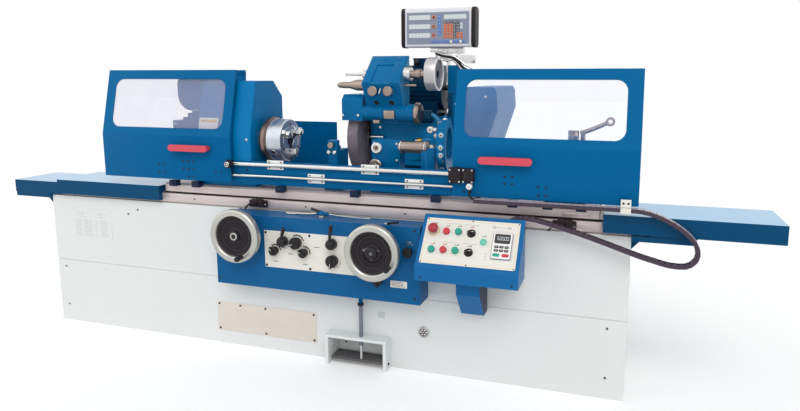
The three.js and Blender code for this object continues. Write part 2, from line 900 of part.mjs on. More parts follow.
function makeDoor(side) {
  const isLeft = side < 0;
  const x0 = tableShift + (isLeft ? leftDoorShift : rightDoorShift);
  const x1 = x0 + doorLength;
  const w0 = x0 + (isLeft ? windowInsetLeft : windowInsetRight);
  const w1 = w0 + windowLength;
  const sheet = prism("x", doorSection(-doorThickness, 0), x0, x1);
  const railZone = box(x0 - overrun, x1 + overrun, doorInner, stripFront + doorFlange, doorBottom - overrun, stripTop + doorThickness);
  const flanges = [x0, x1 - doorThickness].map((x) =>
    prism("x", doorSection(-doorThickness / 2, doorFlange), x, x + doorThickness).subtract(railZone),
  );
  const slant = Math.hypot(doorUpperHeight, doorLean);
  const lipAlong = slant - doorThickness;
  const lip = leaningPanel(x0, x1, lipAlong, slant, doorThickness / 3, -doorThickness / 2, doorFlange);
  const opening = leaningPanel(w0, w1, windowSill, windowSill + windowSlant, windowCorner, -doorThickness - overrun, overrun);
  const carriages = (isLeft ? leftCarriages : rightCarriages).map((inset) => {
    const c0 = x0 + inset;
    const block = box(
      c0,
      c0 + carriageLength,
      doorInner - doorThickness / 2,
      stripFront - runningGap,
      upperRailZ - carriageHeight / 2,
      upperRailZ + carriageHeight / 2,
    );
    return block.subtract(rod("x", upperRailRadius + gap, [0, railY, upperRailZ], c0 - overrun, c0 + carriageLength + overrun, coarseSides));
  });
  const front = doorInner - doorThickness;
  const h0 = x0 + (isLeft ? leftHandleInset : rightHandleInset);
  const h1 = h0 + handleLength;
  const handleZ = doorFold - handleDrop;
  const barFront = front - handleStandoff;
  const bar = box(h0, h1, barFront, barFront + handleThickness, handleZ - handleHeight / 2, handleZ + handleHeight / 2);
  const posts = [h0, h1 - handlePost].map((x) =>
    box(x, x + handlePost, barFront + handleThickness / 2, front + doorThickness / 2, handleZ - handleHeight / 2, handleZ + handleHeight / 2),
  );
  const extras = [];
  if (isLeft) {
    const bumperY = front + doorThickness / 2 - bumperRadius;
    extras.push(rod("x", bumperRadius, [0, bumperY, upperRailZ], x1 - bumperLength, x1 + bumperLength, coarseSides));
  } else {
    const s0 = x0 - switchOverhang;
    const s1 = s0 + switchLength;
    const switchZ = upperRailZ;
    extras.push(box(s0, s1, front - switchDepth, front + doorThickness / 2, switchZ - switchHeight / 2, switchZ + switchHeight / 2));
    const knobX = s1 - switchKnobRadius * 2;
    const knobZ = switchZ - switchHeight / 2;
    extras.push(rod("z", switchKnobRadius, [knobX, front - switchDepth / 2, 0], knobZ - switchKnobRadius, knobZ + overrun, coarseSides));
  }
  const piece = join([sheet, ...flanges, lip, ...carriages, bar, ...posts, ...extras]).subtract(opening);
  place(isLeft ? "left_door" : "right_door", piece, "blue");
  const pane = leaningPanel(
    w0 - paneOverlap,
    w1 + paneOverlap,
    windowSill - paneOverlap,
    windowSill + windowSlant + paneOverlap,
    windowCorner,
    gap,
    gap + paneThickness,
  );
  place(isLeft ? "left_window" : "right_window", pane, "glass");
}

function makeWorkhead() {
  const right = tableShift + workheadShift;
  const left = right - workheadLength;
  const front = swivelFront - workheadFront;
  const back = front + workheadDepth;
  const top = tableTop + workheadHeight;
  const foot = box(left - workheadFoot, right, swivelFront + workheadFront, swivelBack, tableTop, tableTop + workheadFootHeight);
  const outline = [
    [front, tableTop + workheadFootHeight - overrun],
    [back, tableTop + workheadFootHeight - overrun],
    [back, top - workheadChamfer],
    [back - workheadChamfer, top],
    [front + workheadLean, top],
    [front, top - workheadLeanHeight],
  ];
  const body = prism("x", outline, left, right);
  const breather = rod("z", breatherRadius, [(left + right) / 2, (front + back) / 2, 0], top - overrun, top + breatherHeight);
  const bore = rod("x", spindleRadius + gap, [0, axisY, axisZ], right - spindleLength - gap, right + overrun, wheelSides);
  place("workhead_body", cut(join([foot, body, breather]), [bore]), "blue");

  const bodyLeft = left - gap;
  const beltLow = tableTop + beltBottom;
  const beltTop = beltLow + beltHeight;
  const coverFront = front + motorFront;
  const belt = box(bodyLeft - beltLength, bodyLeft, coverFront, coverFront + motorDepth, beltLow, beltTop);
  const steps = beltStepShares.map(([along, up]) =>
    box(bodyLeft - beltLength * along, bodyLeft, coverFront, coverFront + motorDepth, beltTop - overrun, beltTop + motorLift * up),
  );
  const motorBottom = beltTop + motorLift - overrun;
  const motorTop = beltTop + motorLift + motorHeight;
  const motorLeft = bodyLeft - motorLength;
  const shape = new THREE.Shape();
  shape.moveTo(bodyLeft, motorBottom);
  shape.lineTo(bodyLeft, motorTop);
  shape.lineTo(motorLeft + motorTopCorner, motorTop);
  shape.absarc(motorLeft + motorTopCorner, motorTop - motorTopCorner, motorTopCorner, Math.PI / 2, Math.PI, false);
  shape.lineTo(motorLeft, motorBottom + motorCorner);
  shape.absarc(motorLeft + motorCorner, motorBottom + motorCorner, motorCorner, Math.PI, Math.PI * 1.5, false);
  const motor = prism("y", shape, coverFront, coverFront + motorDepth);
  place("workhead_motor_cover", join([belt, motor, ...steps]), "blue");
}

function makeChuck() {
  const face = tableShift + workheadShift;
  const plateStart = noseLength;
  const bodyStart = plateStart + backPlateLength;
  const end = bodyStart + chuckLength;
  const profile = [
    [spindleRadius, -spindleLength],
    [spindleRadius, gap],
    [noseRadius, gap],
    [noseRadius, plateStart],
    [backPlateRadius, plateStart],
    [backPlateRadius, bodyStart],
    [chuckRadius, bodyStart],
    [chuckRadius, end],
  ];
  const body = turned("x", [face, axisY, axisZ], profile, wheelSides);
  const bore = rod("x", chuckBore, [face, axisY, axisZ], plateStart, end + overrun);
  const turn = (piece, degrees) => {
    const angle = THREE.MathUtils.degToRad(degrees);
    const matrix = new THREE.Matrix4()
      .makeTranslation(0, axisY, axisZ)
      .multiply(new THREE.Matrix4().makeRotationX(angle))
      .multiply(new THREE.Matrix4().makeTranslation(0, -axisY, -axisZ));
    return piece.transform(matrix.toArray());
  };
  const slotHalf = jawWidth / 2 + gap;
  const slot = box(
    face + end - jawDepth - gap,
    face + end + overrun,
    axisY,
    axisY + chuckRadius + overrun,
    axisZ - slotHalf,
    axisZ + slotHalf,
  );
  place("chuck", cut(body, [bore, ...jawAngles.map((degrees) => turn(slot, degrees))]), "chrome");
  const x0 = face + end - jawDepth;
  const x1 = face + end + jawProud;
  const outline = [
    [axisY + jawInner, x0],
    [axisY + jawInner + jawLength, x0],
    [axisY + jawInner + jawLength, x1 - jawStep],
    [axisY + jawInner + jawLength - jawStep, x1 - jawStep],
    [axisY + jawInner + jawLength - jawStep, x1],
    [axisY + jawInner, x1],
  ];
  const jaw = prism("z", outline.map(([y, x]) => [x, y]), axisZ - jawWidth / 2, axisZ + jawWidth / 2);
  jawAngles.forEach((degrees, i) => place("chuck_jaw_" + (i + 1), turn(jaw, degrees), "steel"));
}

function makeTailstock() {
  const left = tableShift + tailShift;
  const right = left + tailLength;
  const front = swivelFront + tailFront;
  const back = front + tailDepth;
  const top = tableTop + tailHeight;
  const outline = [
    [front, tableTop],
    [back, tableTop],
    [back, top - tailChamfer],
    [back - tailChamfer, top],
    [front + tailChamfer, top],
    [front, top - tailChamfer],
  ];
  const body = prism("x", outline, left, right);
  const posts = tailPostShares.map((share) =>
    rod("z", tailPostRadius, [left + tailLength * share, axisY, 0], top - overrun, top + tailPostHeight, coarseSides),
  );
  const bore = rod("x", quillRadius + gap, [0, axisY, axisZ], left - overrun, right - tailPostRadius);
  place("tailstock_body", cut(join([body, ...posts]), [bore]), "blue");
  const tip = [
    [0, -quillReach - centreLength],
    [tailPostRadius, -quillReach - tailPostRadius],
    [tailPostRadius, -quillReach],
    [quillRadius, -quillReach],
    [quillRadius, quillInside],
  ];
  place("tailstock_quill", turned("x", [left, axisY, axisZ], tip, roundSides), "steel");
  const hubX = right - tailPostRadius * 2;
  const hubTop = top + tailPostHeight;
  const hub = rod("z", tailPostRadius, [hubX, axisY, 0], top + gap, hubTop, coarseSides);
  const lean = Math.atan2(tailLeverRise, tailLeverReach);
  const length = Math.hypot(tailLeverReach, tailLeverRise);
  const arm = new THREE.CylinderGeometry(tailLeverRadius, tailLeverRadius, length, coarseSides);
  arm.translate(0, length / 2, 0);
  arm.rotateZ(lean - Math.PI / 2);
  arm.rotateX(Math.PI / 2);
  arm.translate(hubX, axisY, hubTop - tailLeverRadius);
  const knob = new THREE.SphereGeometry(tailKnobRadius, coarseSides, coarseSides / 2);
  knob.translate(hubX + tailLeverReach, axisY, hubTop - tailLeverRadius + tailLeverRise);
  place("tailstock_lever", join([hub, solid(arm), solid(knob)]), "castIron");
}

function makeSteadies() {
  const front = swivelFront + steadyFront;
  const back = front + steadyDepth;
  // Open steady: a C frame with two work jaws
  const x0 = tableShift + openSteadyShift;
  const x1 = x0 + openSteadyLength;
  const half = openSteadyMouth / 2;
  const top = tableTop + openSteadyHeight;
  const frameOutline = [
    [front, tableTop],
    [back, tableTop],
    [back, axisZ - half],
    [front + steadyDepth / 4, axisZ - half],
    [front + steadyDepth / 4, top],
    [front, top],
  ];
  const frame = prism("x", frameOutline, x0 + openSteadyLength / 4, x1 - openSteadyLength / 4);
  const foot = box(x0, x1, front, back, tableTop, tableTop + steadyFootHeight / 2);
  const middle = (x0 + x1) / 2;
  const lower = rod("z", steadyJawRadius, [middle, axisY, 0], axisZ - half - steadyJawReach / 2, axisZ - half / 2, coarseSides);
  const side = rod("y", steadyJawRadius, [middle, 0, top - steadyJawRadius * 2], front - steadyJawRadius, axisY - half, coarseSides);
  place("open_steady", join([frame, foot, lower, side]), "castIron");

  // Ring steady: a closed ring with three screws
  const r0 = tableShift + ringShift;
  const r1 = r0 + ringLength;
  const stem = box(r0, r1, axisY - ringOuter / 2, axisY + ringOuter / 2, tableTop, axisZ - ringInner - ringScrewRadius);
  const base = box(r0 - ringLength / 4, r1 + ringLength / 4, axisY - ringInner, axisY + ringInner, tableTop, tableTop + steadyFootHeight / 3);
  const hoop = ring("x", ringOuter, ringInner, [0, axisY, axisZ], r0, r1);
  const centre = (r0 + r1) / 2;
  const screws = [90, 210, 330].map((degrees) => {
    const angle = THREE.MathUtils.degToRad(degrees);
    const screw = new THREE.CylinderGeometry(ringScrewRadius, ringScrewRadius, ringScrewReach, coarseSides);
    screw.translate(0, ringInner - ringScrewReach / 4 + ringScrewReach / 2, 0);
    screw.rotateX(angle);
    return solid(screw.translate(centre, axisY, axisZ));
  });
  const yoke = join([hoop, ...screws]).translate([0, 0, -axisZ]).scale([1, 1, ringRise / ringOuter]).translate([0, 0, axisZ]);
  place("ring_steady", join([stem, base, yoke]), "castIron");
}

function makeDresser() {
  const x0 = tableShift + dresserShift;
  const x1 = x0 + dresserLength;
  const front = swivelFront + steadyFront;
  const back = front + dresserDepth;
  const top = tableTop + dresserHeight;
  const armZ = top - dresserArmDrop;
  const bossX = x0 + dresserRingInset;
  const block = box(x0, x1, front + dresserArmRadius, back, tableTop + steadyFootHeight / 4, top);
  const foot = box(x0, x1 + dresserArmLength, front, back, tableTop, tableTop + steadyFootHeight / 2);
  const arm = turned(
    "x",
    [x1, (front + back) / 2, armZ],
    [[dresserArmRadius, -overrun], [dresserArmRadius, dresserArmLength - dresserTip], [dresserArmRadius / 2, dresserArmLength]],
    roundSides,
  );
  const postX = x1 + dresserPostShift - dresserPostLength / 2;
  const post = box(postX, postX + dresserPostLength, front + dresserArmRadius, back - dresserArmRadius / 2, tableTop, armZ);
  const boss = rod("y", dresserRingRadius, [bossX, 0, top - dresserRingDrop], front + dresserArmRadius / 2, back, roundSides);
  const disc = rod("y", dresserDiscRadius, [bossX, 0, top - dresserDiscDrop], front, back, roundSides);
  place("wheel_dresser", join([block, foot, arm, post, boss, disc]), "skyBlue");
}

function makeWheelhead() {
  const saddleFront = bedBack + saddleSetback;
  const saddle = box(saddleLeft, saddleLeft + saddleLength, saddleFront, saddleFront + saddleDepth, saddleBottom, headBottom);
  const wheelRoom = box(
    saddleLeft - overrun,
    headLeft,
    saddleFront - overrun,
    wheelY + guardTail + gap,
    guardBottom - gap,
    headBottom + overrun,
  );
  const headOutline = [
    [headFront, headBottom - overrun],
    [headFront + headDepth, headBottom - overrun],
    [headFront + headDepth, headTop],
    [headFront, headTop],
  ];
  const head = prism("x", headOutline, headLeft, headRight);
  const lug = (from, length) => {
    const eye = rod("x", hingeRadius, [0, hingeY, hingeZ], from, from + length);
    const arm = box(from, from + length, hingeY, headFront + overrun, hingeZ - hingeRadius, headTop - runningGap);
    return eye.add(arm);
  };
  const motorX = headLeft + driveMotorFromLeft;
  const motorEnd = motorX + driveMotorLength;
  const motorY = headFront + driveMotorBack;
  const motorZ = headTop + driveFootHeight + driveMotorRadius;
  const pulleyX = bracketRight + cupStart;
  const boxX = motorX + driveBoxFromLeft;
  const driveMotor = [
    rod("x", driveMotorRadius, [0, motorY, motorZ], motorX, motorEnd, roundSides),
    box(motorX + driveFootInset, motorEnd - driveFootInset, motorY - driveFootWidth / 2, motorY + driveFootWidth / 2, headTop - overrun, motorZ),
    box(boxX, boxX + driveBoxLength, motorY - driveBoxWidth / 2, motorY + driveBoxWidth / 2, motorZ, motorZ + driveMotorRadius + driveBoxHeight),
    rod("x", driveShaftRadius, [0, motorY, motorZ], motorEnd - overrun, pulleyX + overrun, coarseSides),
    rod("x", drivePulleyRadius, [0, motorY, motorZ], pulleyX, pulleyX + cupLength, roundSides),
  ];
  const rightLug = bracketRight + runningGap;
  const disc = rod("x", flangeDiscRadius, [0, hingeY, hingeZ], rightLug + lugRight - overrun, rightLug + lugRight + flangeDiscLength);
  const pinBore = rod("x", hingePin + gap, [0, hingeY, hingeZ], headLeft - overrun, rightLug + lugRight);
  const spindleBore = rod(
    "x",
    wheelSpindleRadius + gap,
    [0, wheelY, axisZ],
    headLeft - overrun,
    wheelX + wheelWidth / 2 + wheelSpindleLength,
  );
  place("wheelhead_body", cut(join([saddle.subtract(wheelRoom), head, lug(headLeft, lugLeft), lug(rightLug, lugRight), disc, ...driveMotor]), [pinBore, spindleBore]), "blue");

  const wheelLeft = wheelX - wheelWidth / 2;
  const wheelRight = wheelX + wheelWidth / 2;
  const wheelProfile = [
    [flangeRadius, wheelLeft - flangeExtra],
    [flangeRadius, wheelLeft],
    [wheelRadius, wheelLeft],
    [wheelRadius, wheelRight],
    [flangeRadius, wheelRight],
    [flangeRadius, wheelRight + flangeExtra],
    [wheelSpindleRadius, wheelRight + flangeExtra],
    [wheelSpindleRadius, wheelRight + wheelSpindleLength - gap],
  ];
  place("grinding_wheel", turned("x", [0, wheelY, axisZ], wheelProfile, wheelSides), "abrasive");
}

// The wheel guard boxes in the top and back of the wheel and is open towards the work
function makeWheelGuard() {
  const right = headLeft - gap;
  const z0 = axisZ;
  const shape = new THREE.Shape();
  shape.moveTo(wheelY + guardTail, guardBottom);
  shape.lineTo(wheelY + guardTail, z0 + guardRadius / 2);
  shape.lineTo(wheelY + guardRadius / 2, z0 + guardRadius);
  shape.lineTo(wheelY - guardRadius + guardCorner, z0 + guardRadius);
  shape.lineTo(wheelY - guardRadius, z0 + guardRadius - guardCorner);
  shape.lineTo(wheelY - guardRadius, z0 + guardMouth);
  shape.lineTo(wheelY - guardMouth, z0 + guardMouth);
  shape.lineTo(wheelY - guardMouth, guardBottom);
  const shell = prism("x", shape, guardLeft, right);
  const hollow = rod("x", guardRadius - guardWall, [0, wheelY, z0], guardLeft + guardWall, right - guardWall, wheelSides);
  const mouth = box(
    guardLeft + guardWall,
    right - guardWall,
    wheelY - guardRadius - overrun,
    wheelY,
    guardBottom - overrun,
    z0 + guardMouth - guardWall,
  );
  const spindleHole = rod("x", wheelSpindleRadius + guardWall, [0, wheelY, z0], right - guardWall - overrun, right + overrun);
  const washer = rod("x", flangeRadius + guardWall / 2, [0, wheelY, z0], guardLeft + guardWall / 5, right - guardWall / 5);
  const nozzlePlace = [0, wheelY - guardMouth - nozzleRadius + runningGap, z0 + nozzleRadius];
  const nozzle = rod("x", nozzleRadius, nozzlePlace, right - guardWall, right + nozzleReach, coarseSides);
  place("wheel_guard", cut(shell, [hollow, mouth, spindleHole, washer]).add(nozzle), "blue");
}

// Outline of the belt cover as shares of its length and height
const coverShoulderShare = 0.9;
const coverOutlineShares = [
  [0, 0],
  [0.68, 0],
  [0.73, 0.18],
  [1, 0.69],
  [0.97, 0.94],
  [0.92, 1],
  [0.3, 1],
  [0.2, coverShoulderShare],
  [0, coverShoulderShare],
];

function makeBeltCover() {
  const left = headRight;
  const right = left + beltCoverLength;
  const [bottom, top] = [headTop - beltCoverDrop, headTop + beltCoverRise];
  const outline = coverOutlineShares.map(([a, b]) => [left + (right - left) * a, bottom + (top - bottom) * b]);
  place("belt_cover", prism("y", outline, headFront + beltCoverSetback, headFront + beltCoverSetback + beltCoverDepth), "blue");
}

function makeReadout() {
  const left = readoutLeft;
  const bottom = headTop + beltCoverRise + readoutLift;
  const top = bottom + readoutHeight;
  const front = headFront;
  const back = front + readoutDepth;
  const housing = box(left, left + readoutLength, front, back, bottom, top);
  const arm = box(
    left + readoutLength / 3,
    left + readoutLength,
    front + armThickness,
    back,
    bottom - armThickness,
    bottom + overrun,
  );
  const postX = left + armPostFromLeft;
  const shoulder = headTop - beltCoverDrop + (beltCoverDrop + beltCoverRise) * coverShoulderShare;
  const columnLeft = left + readoutColumnFromLeft;
  const columnRight = columnLeft + readoutColumnLength;
  const columnTop = headTop + readoutColumnHeight;
  const post = box(postX, postX + armPostWidth, front + armThickness, back, columnTop - overrun, bottom);
  const column = box(columnLeft, columnRight, front + armThickness, back, shoulder, columnTop);
  const leg = box(columnLeft, headRight - gap, front + armThickness, back, headTop, columnTop);
  place("readout", join([housing, arm, post, column, leg]), "white");
}

function makeInternalBracket() {
  const outline = [
    [hingeY - bracketFront + bracketUndercut, hingeZ + bracketSill],
    [hingeY - bracketFront, hingeZ + bracketFace],
    [hingeY + bracketBack, hingeZ + bracketTop],
    [hingeY + bracketBack, hingeZ],
  ];
  const block = prism("x", outline, bracketLeft, bracketRight);
  const barrel = rod("x", hingeRadius, [0, hingeY, hingeZ], bracketLeft, bracketRight);
  const relief = box(
    bracketLeft - overrun,
    bracketRight + overrun,
    hingeY + hingeRadius,
    hingeY + bracketBack + overrun,
    hingeZ - overrun,
    hingeZ + hingeRadius,
  );
  const pin = rod("x", hingePin, [0, hingeY, hingeZ], headLeft, bracketRight + runningGap + lugRight - gap);
  const upperZ = hingeZ + upperAxisRise;
  const spareZ = hingeZ + spareAxisRise;
  const spareY = hingeY - spareAxisAhead;
  const knobs = [1, 2].map((step) => {
    const x = bracketLeft + (bracketLength * step * 2) / 5 - bracketLength / 10;
    return rod("y", spareRadius - knobFlare, [x, 0, hingeZ + (bracketFace * 3) / 4], hingeY - bracketFront - knobFlare * 2, hingeY, roundSides);
  });
  const spare = turned(
    "x",
    [bracketLeft, spareY, spareZ],
    [[spareTip / 2, -spareReach], [spareTip, -spareReach * 0.7], [spareRadius, -spareReach / 3], [spareRadius, overrun]],
    roundSides,
  );
  const bar = rod("x", barRadius, [0, spareY, spareZ], bracketRight - overrun, bracketRight + barReach, coarseSides);
  const bore = rod("x", internalRadius + gap, [0, hingeY, upperZ], bracketLeft - overrun, bracketRight + overrun);
  place("internal_bracket", cut(join([cut(block, [relief]), barrel, pin, ...knobs, spare, bar]), [bore]), "skyBlue");

  const profile = [
    [internalTip, -internalReach],
    [internalTip, -collarLength - gap],
    [collarRadius, -collarLength - gap],
    [collarRadius, -gap],
    [internalRadius, -gap],
    [internalRadius, bracketLength + gap],
    [sleeveRadius, bracketLength + gap],
    [sleeveRadius, bracketLength + sleeveLength],
    [internalRadius, bracketLength + sleeveLength],
    [internalRadius, bracketLength + cupStart],
    [cupRadius, bracketLength + cupStart],
    [cupRadius, bracketLength + cupStart + cupLength],
    [cupRadius - cupWall, bracketLength + cupStart + cupLength],
    [cupRadius - cupWall, bracketLength + cupStart + cupWall],
    [internalRadius, bracketLength + cupStart + cupWall],
    [internalRadius, bracketLength + cupStart + cupLength - cupWall],
  ];
  place("internal_spindle", turned("x", [bracketLeft, hingeY, upperZ], profile, roundSides), "steel");
}

const apronControls = [...wheelPlaces, ...knobPlaces, ...leverPlaces];

function makeApron() {
  const right = apronLeft + apronLength;
  const outline = [
    [apronLeft, apronBottom],
    [right, apronBottom],
    [right, apronTop],
    [apronLeft + apronChamfer, apronTop],
    [apronLeft, apronTop - apronChamfer],
  ];
  const body = prism("y", outline, apronFront, bedFront);
  const p0 = apronLeft + plateLeft;
  const plate = box(
    p0,
    p0 + plateLength,
    apronFront - plateThickness,
    apronFront + plateThickness,
    apronBottom + plateBottom,
    apronBottom + plateBottom + plateHeight,
  );
  const bores = apronControls.map(({ right: across, up }) =>
    rod("y", stemRadius + gap, [apronLeft + across, 0, apronBottom + up], apronFront - overrun, apronFront + stemDepth + gap, coarseSides),
  );
  const rodX = hoodLeft + hoodLength / 2 + pedalRodRight;
  const rodBore = rod(
    "z",
    pedalRodRadius + gap,
    [rodX, bedFront - pedalRodAhead, 0],
    apronBottom - overrun,
    apronBottom + pedalRodInside + runningGap,
    coarseSides,
  );
  place("apron_housing", cut(body.add(plate), [...bores, rodBore]), "skyBlue");
}

function makeApronControls() {
  const face = apronFront - plateThickness - gap;
  for (const { name, right, up, crankAngle } of wheelPlaces) {
    const front = face - handwheelReach + plateThickness;
    const profile = [
      [stemRadius, apronFront + stemDepth],
      [stemRadius, face],
      [hubRadius, face],
      [hubRadius, front + handwheelRim],
      [handwheelRadius - rimThickness, front + handwheelRim / 2 + webThickness],
      [handwheelRadius - rimThickness, front + handwheelRim],
      [handwheelRadius, front + handwheelRim],
      [handwheelRadius, front],
      [handwheelRadius - rimThickness, front],
      [handwheelRadius - rimThickness, front + handwheelRim / 2],
      [hubRadius, front + handwheelRim - webThickness],
      [hubRadius, front + webThickness],
    ];
    const centre = [apronLeft + right, 0, apronBottom + up];
    const wheel = turned("y", centre, profile, wheelSides);
    const angle = THREE.MathUtils.degToRad(crankAngle);
    const crankCentre = [centre[0] + crankDistance * Math.cos(angle), 0, centre[2] + crankDistance * Math.sin(angle)];
    const crank = turned(
      "y",
      crankCentre,
      [[crankRadius, front - crankLength], [crankRadius * 0.8, front - crankLength / 2], [crankRadius, front + handwheelRim / 2 + webThickness / 2]],
      coarseSides,
    );
    place(name, wheel.add(crank), "black");
  }
  for (const { name, right, up, radius, length } of knobPlaces) {
    const centre = [apronLeft + right, 0, apronBottom + up];
    const profile = [
      [stemRadius, apronFront + stemDepth],
      [stemRadius, face],
      [radius - knobFlare, face],
      [radius - knobFlare, face - length / 3],
      [radius, face - length / 2],
      [radius, face - length],
    ];
    place(name, turned("y", centre, profile, roundSides), "black");
  }
  for (const { name, right, up, reach, angle } of leverPlaces) {
    const centre = [apronLeft + right, 0, apronBottom + up];
    const hub = turned(
      "y",
      centre,
      [[stemRadius, apronFront + stemDepth], [stemRadius, face], [leverHub, face], [leverHub, face - leverHubLength]],
      roundSides,
    );
    const turn = THREE.MathUtils.degToRad(angle);
    const arm = new THREE.CylinderGeometry(leverBall, leverArmRadius, reach, coarseSides);
    arm.translate(0, reach / 2, 0);
    arm.rotateZ(-Math.PI / 2);
    arm.rotateY(-turn);
    arm.translate(centre[0], face - leverHubLength + leverBall, centre[2]);
    const ball = new THREE.SphereGeometry(leverBall, coarseSides, coarseSides / 2);
    ball.translate(centre[0] + reach * Math.cos(turn), face - leverHubLength + leverBall, centre[2] + reach * Math.sin(turn));
    place(name, join([hub, solid(arm), solid(ball)]), "black");
  }
}

// A point on the desk's sloped panel: right of its centre, up its slope and out of its face
const slopeRise = deskHeight - deskLipHeight;
const slopeRun = deskDepth - deskTopDepth;
const slope = Math.atan2(slopeRise, slopeRun);
const panelX = deskLeft + deskLength / 2;
const panelY = (deskFront + deskBack - deskTopDepth) / 2;
const panelZ = deskBottom + (deskLipHeight + deskHeight) / 2;

// Stands a body made around +Z on the panel's face
function onPanel(piece, right, up) {
  const matrix = new THREE.Matrix4()
    .makeTranslation(panelX, panelY, panelZ)
    .multiply(new THREE.Matrix4().makeRotationX(slope))
    .multiply(new THREE.Matrix4().makeTranslation(right, up, 0));
  return piece.transform(matrix.toArray());
}

function makeDesk() {
  const right = deskLeft + deskLength;
  const outline = [
    [deskBack, deskBottom],
    [deskFront, deskBottom],
    [deskFront, deskBottom + deskLipHeight],
    [deskBack - deskTopDepth, deskTop],
    [deskBack, deskTop],
  ];
  const housing = prism("x", outline, deskLeft, right);
  const columnX = deskLeft + columnFromDesk;
  const columnBottom = deskBottom - columnDrop;
  const columnFront = deskFront + deskStandoff;
  const columnOutline = [
    [bedFront, columnBottom],
    [bedFront - columnFootDepth, columnBottom],
    [columnFront, deskBottom - deskStandoff],
    [columnFront, deskBottom + overrun],
    [bedFront - deskStandoff, deskBottom + overrun],
    [bedFront, deskBottom - overrun],
  ];
  const column = prism("x", columnOutline, columnX, columnX + columnWidth);
  const panel = onPanel(box(-panelLength / 2, panelLength / 2, -panelWidth / 2, panelWidth / 2, -panelThickness, panelThickness), 0, 0);
  const last = chainRoute[chainRoute.length - 1];
  const blockX = last[0];
  const holder = box(
    blockX - chainBlock,
    blockX - chainHeight / 2,
    deskBack - overrun,
    bedFront - chainFront + chainWidth,
    last[1] - chainBlock / 2,
    last[1] + chainBlock / 4,
  );
  const shelf = box(
    blockX - chainBlock,
    blockX + chainBlock / 2,
    deskBack - overrun,
    bedFront - chainFront + chainWidth,
    last[1] - chainBlock,
    last[1] - chainBlock / 2,
  );
  const bores = deskButtons.map(({ right: across, up }) =>
    onPanel(rod("z", buttonStem + gap, [0, 0, 0], -buttonStemDepth - buttonTravel - gap, overrun, coarseSides), across, up),
  );
  place("desk", cut(join([housing, column, panel, shelf, holder]), bores), "skyBlue");
  for (const { name, right: across, up, radius, height } of deskButtons) {
    const rise = panelThickness + (name.includes("selector") ? gap : buttonTravel + gap);
    const profile = [
      [buttonStem, -buttonStemDepth],
      [buttonStem, rise],
      [radius, rise],
      [radius, rise + height - buttonCollarHeight],
      [radius - buttonCollarHeight / 2, rise + height],
    ];
    const finish = name.includes("selector") ? "black" : name.includes("green") ? "green" : "red";
    let body = turned("z", [0, 0, 0], profile, roundSides);
    if (name.includes("selector")) {
      const grip = box(-radius, radius, -buttonStem / 2, buttonStem / 2, rise + height / 3, rise + height);
      const base = rod("z", radius, [0, 0, 0], rise, rise + height / 3);
      const stem = rod("z", buttonStem, [0, 0, 0], -buttonStemDepth, rise + overrun, coarseSides);
      body = join([stem, base, grip]);
    }
    place(name, onPanel(body, across, up), finish);
  }
}

function makePedal() {
  const right = hoodLeft + hoodLength;
  const front = bedFront - hoodDepth;
  const hood = box(hoodLeft, right, front, bedFront, 0, hoodHeight);
  const opening = box(hoodLeft + hoodWall, right - hoodWall, front - overrun, bedFront + overrun, -overrun, hoodHeight - hoodLid);
  const rodX = hoodLeft + hoodLength / 2 + pedalRodRight;
  const rodY = bedFront - pedalRodAhead;
  const hole = rod("z", pedalRodRadius + gap, [rodX, rodY, 0], hoodHeight - hoodLid - overrun, hoodHeight + overrun, coarseSides);
  place("pedal_hood", cut(hood, [opening, hole]), "white");

  const p0 = hoodLeft + hoodWall + pedalSideGap;
  const p1 = right - hoodWall - pedalSideGap;
  const hingePlaceY = bedFront + pedalBack - pedalHingeInset;
  const hingePlaceZ = pedalRise + pedalThickness / 2;
  const plate = box(p0, p1, bedFront - pedalFront, hingePlaceY, pedalRise, pedalRise + pedalThickness);
  const barrel = rod("x", pedalThickness / 2, [0, hingePlaceY, hingePlaceZ], p0, p1, coarseSides);
  const pins = rod("x", pedalPin, [0, hingePlaceY, hingePlaceZ], p0 - pedalSideGap + gap, p1 + pedalSideGap - gap, coarseSides);
  place("foot_pedal", join([plate, barrel, pins]), "castIron");

  const low = pedalRise + pedalThickness + gap;
  const shaft = rod("z", pedalRodRadius, [rodX, rodY, 0], low, apronBottom + pedalRodInside - hoodWall, coarseSides);
  const collar = rod("z", pedalCollarRadius, [rodX, rodY, 0], apronBottom - hoodWall * 4, apronBottom - hoodWall * 2, coarseSides);
  place("pedal_rod", shaft.add(collar), "black");
}

makeBed();
makeRearBase();
makeWayTray("left_way_tray", -1, bedLeft + trayTuck, bedLeft - trayReach);
makeWayTray("right_way_tray", 1, bedRight + rightTrayStart, bedRight + trayReach);
makeLowerTable();
makeTableCylinder();
makeSwivelTable();
makeWayCover("left_way_cover", -1);
makeWayCover("right_way_cover", 1);
makeTripDog("left_trip_dog", tableLeft + leftDogInset);
makeTripDog("right_trip_dog", tableRight - rightDogInset);
makeChain();
makeGuardStrip();
makeDoor(-1);
makeDoor(1);
makeWorkhead();
makeChuck();
makeTailstock();
makeSteadies();
makeDresser();
makeWheelhead();
makeWheelGuard();
makeBeltCover();
makeReadout();
makeInternalBracket();
makeApron();
makeApronControls();
makeDesk();
makePedal();

export default group;
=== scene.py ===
"""Looks of the cylindrical grinding machine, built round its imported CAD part.

Shapes are made in millimetres in the part's own frame and brought to metres once, when a piece is done.
"""

import json
import math

import bmesh
import bpy
from mathutils import Matrix, Vector


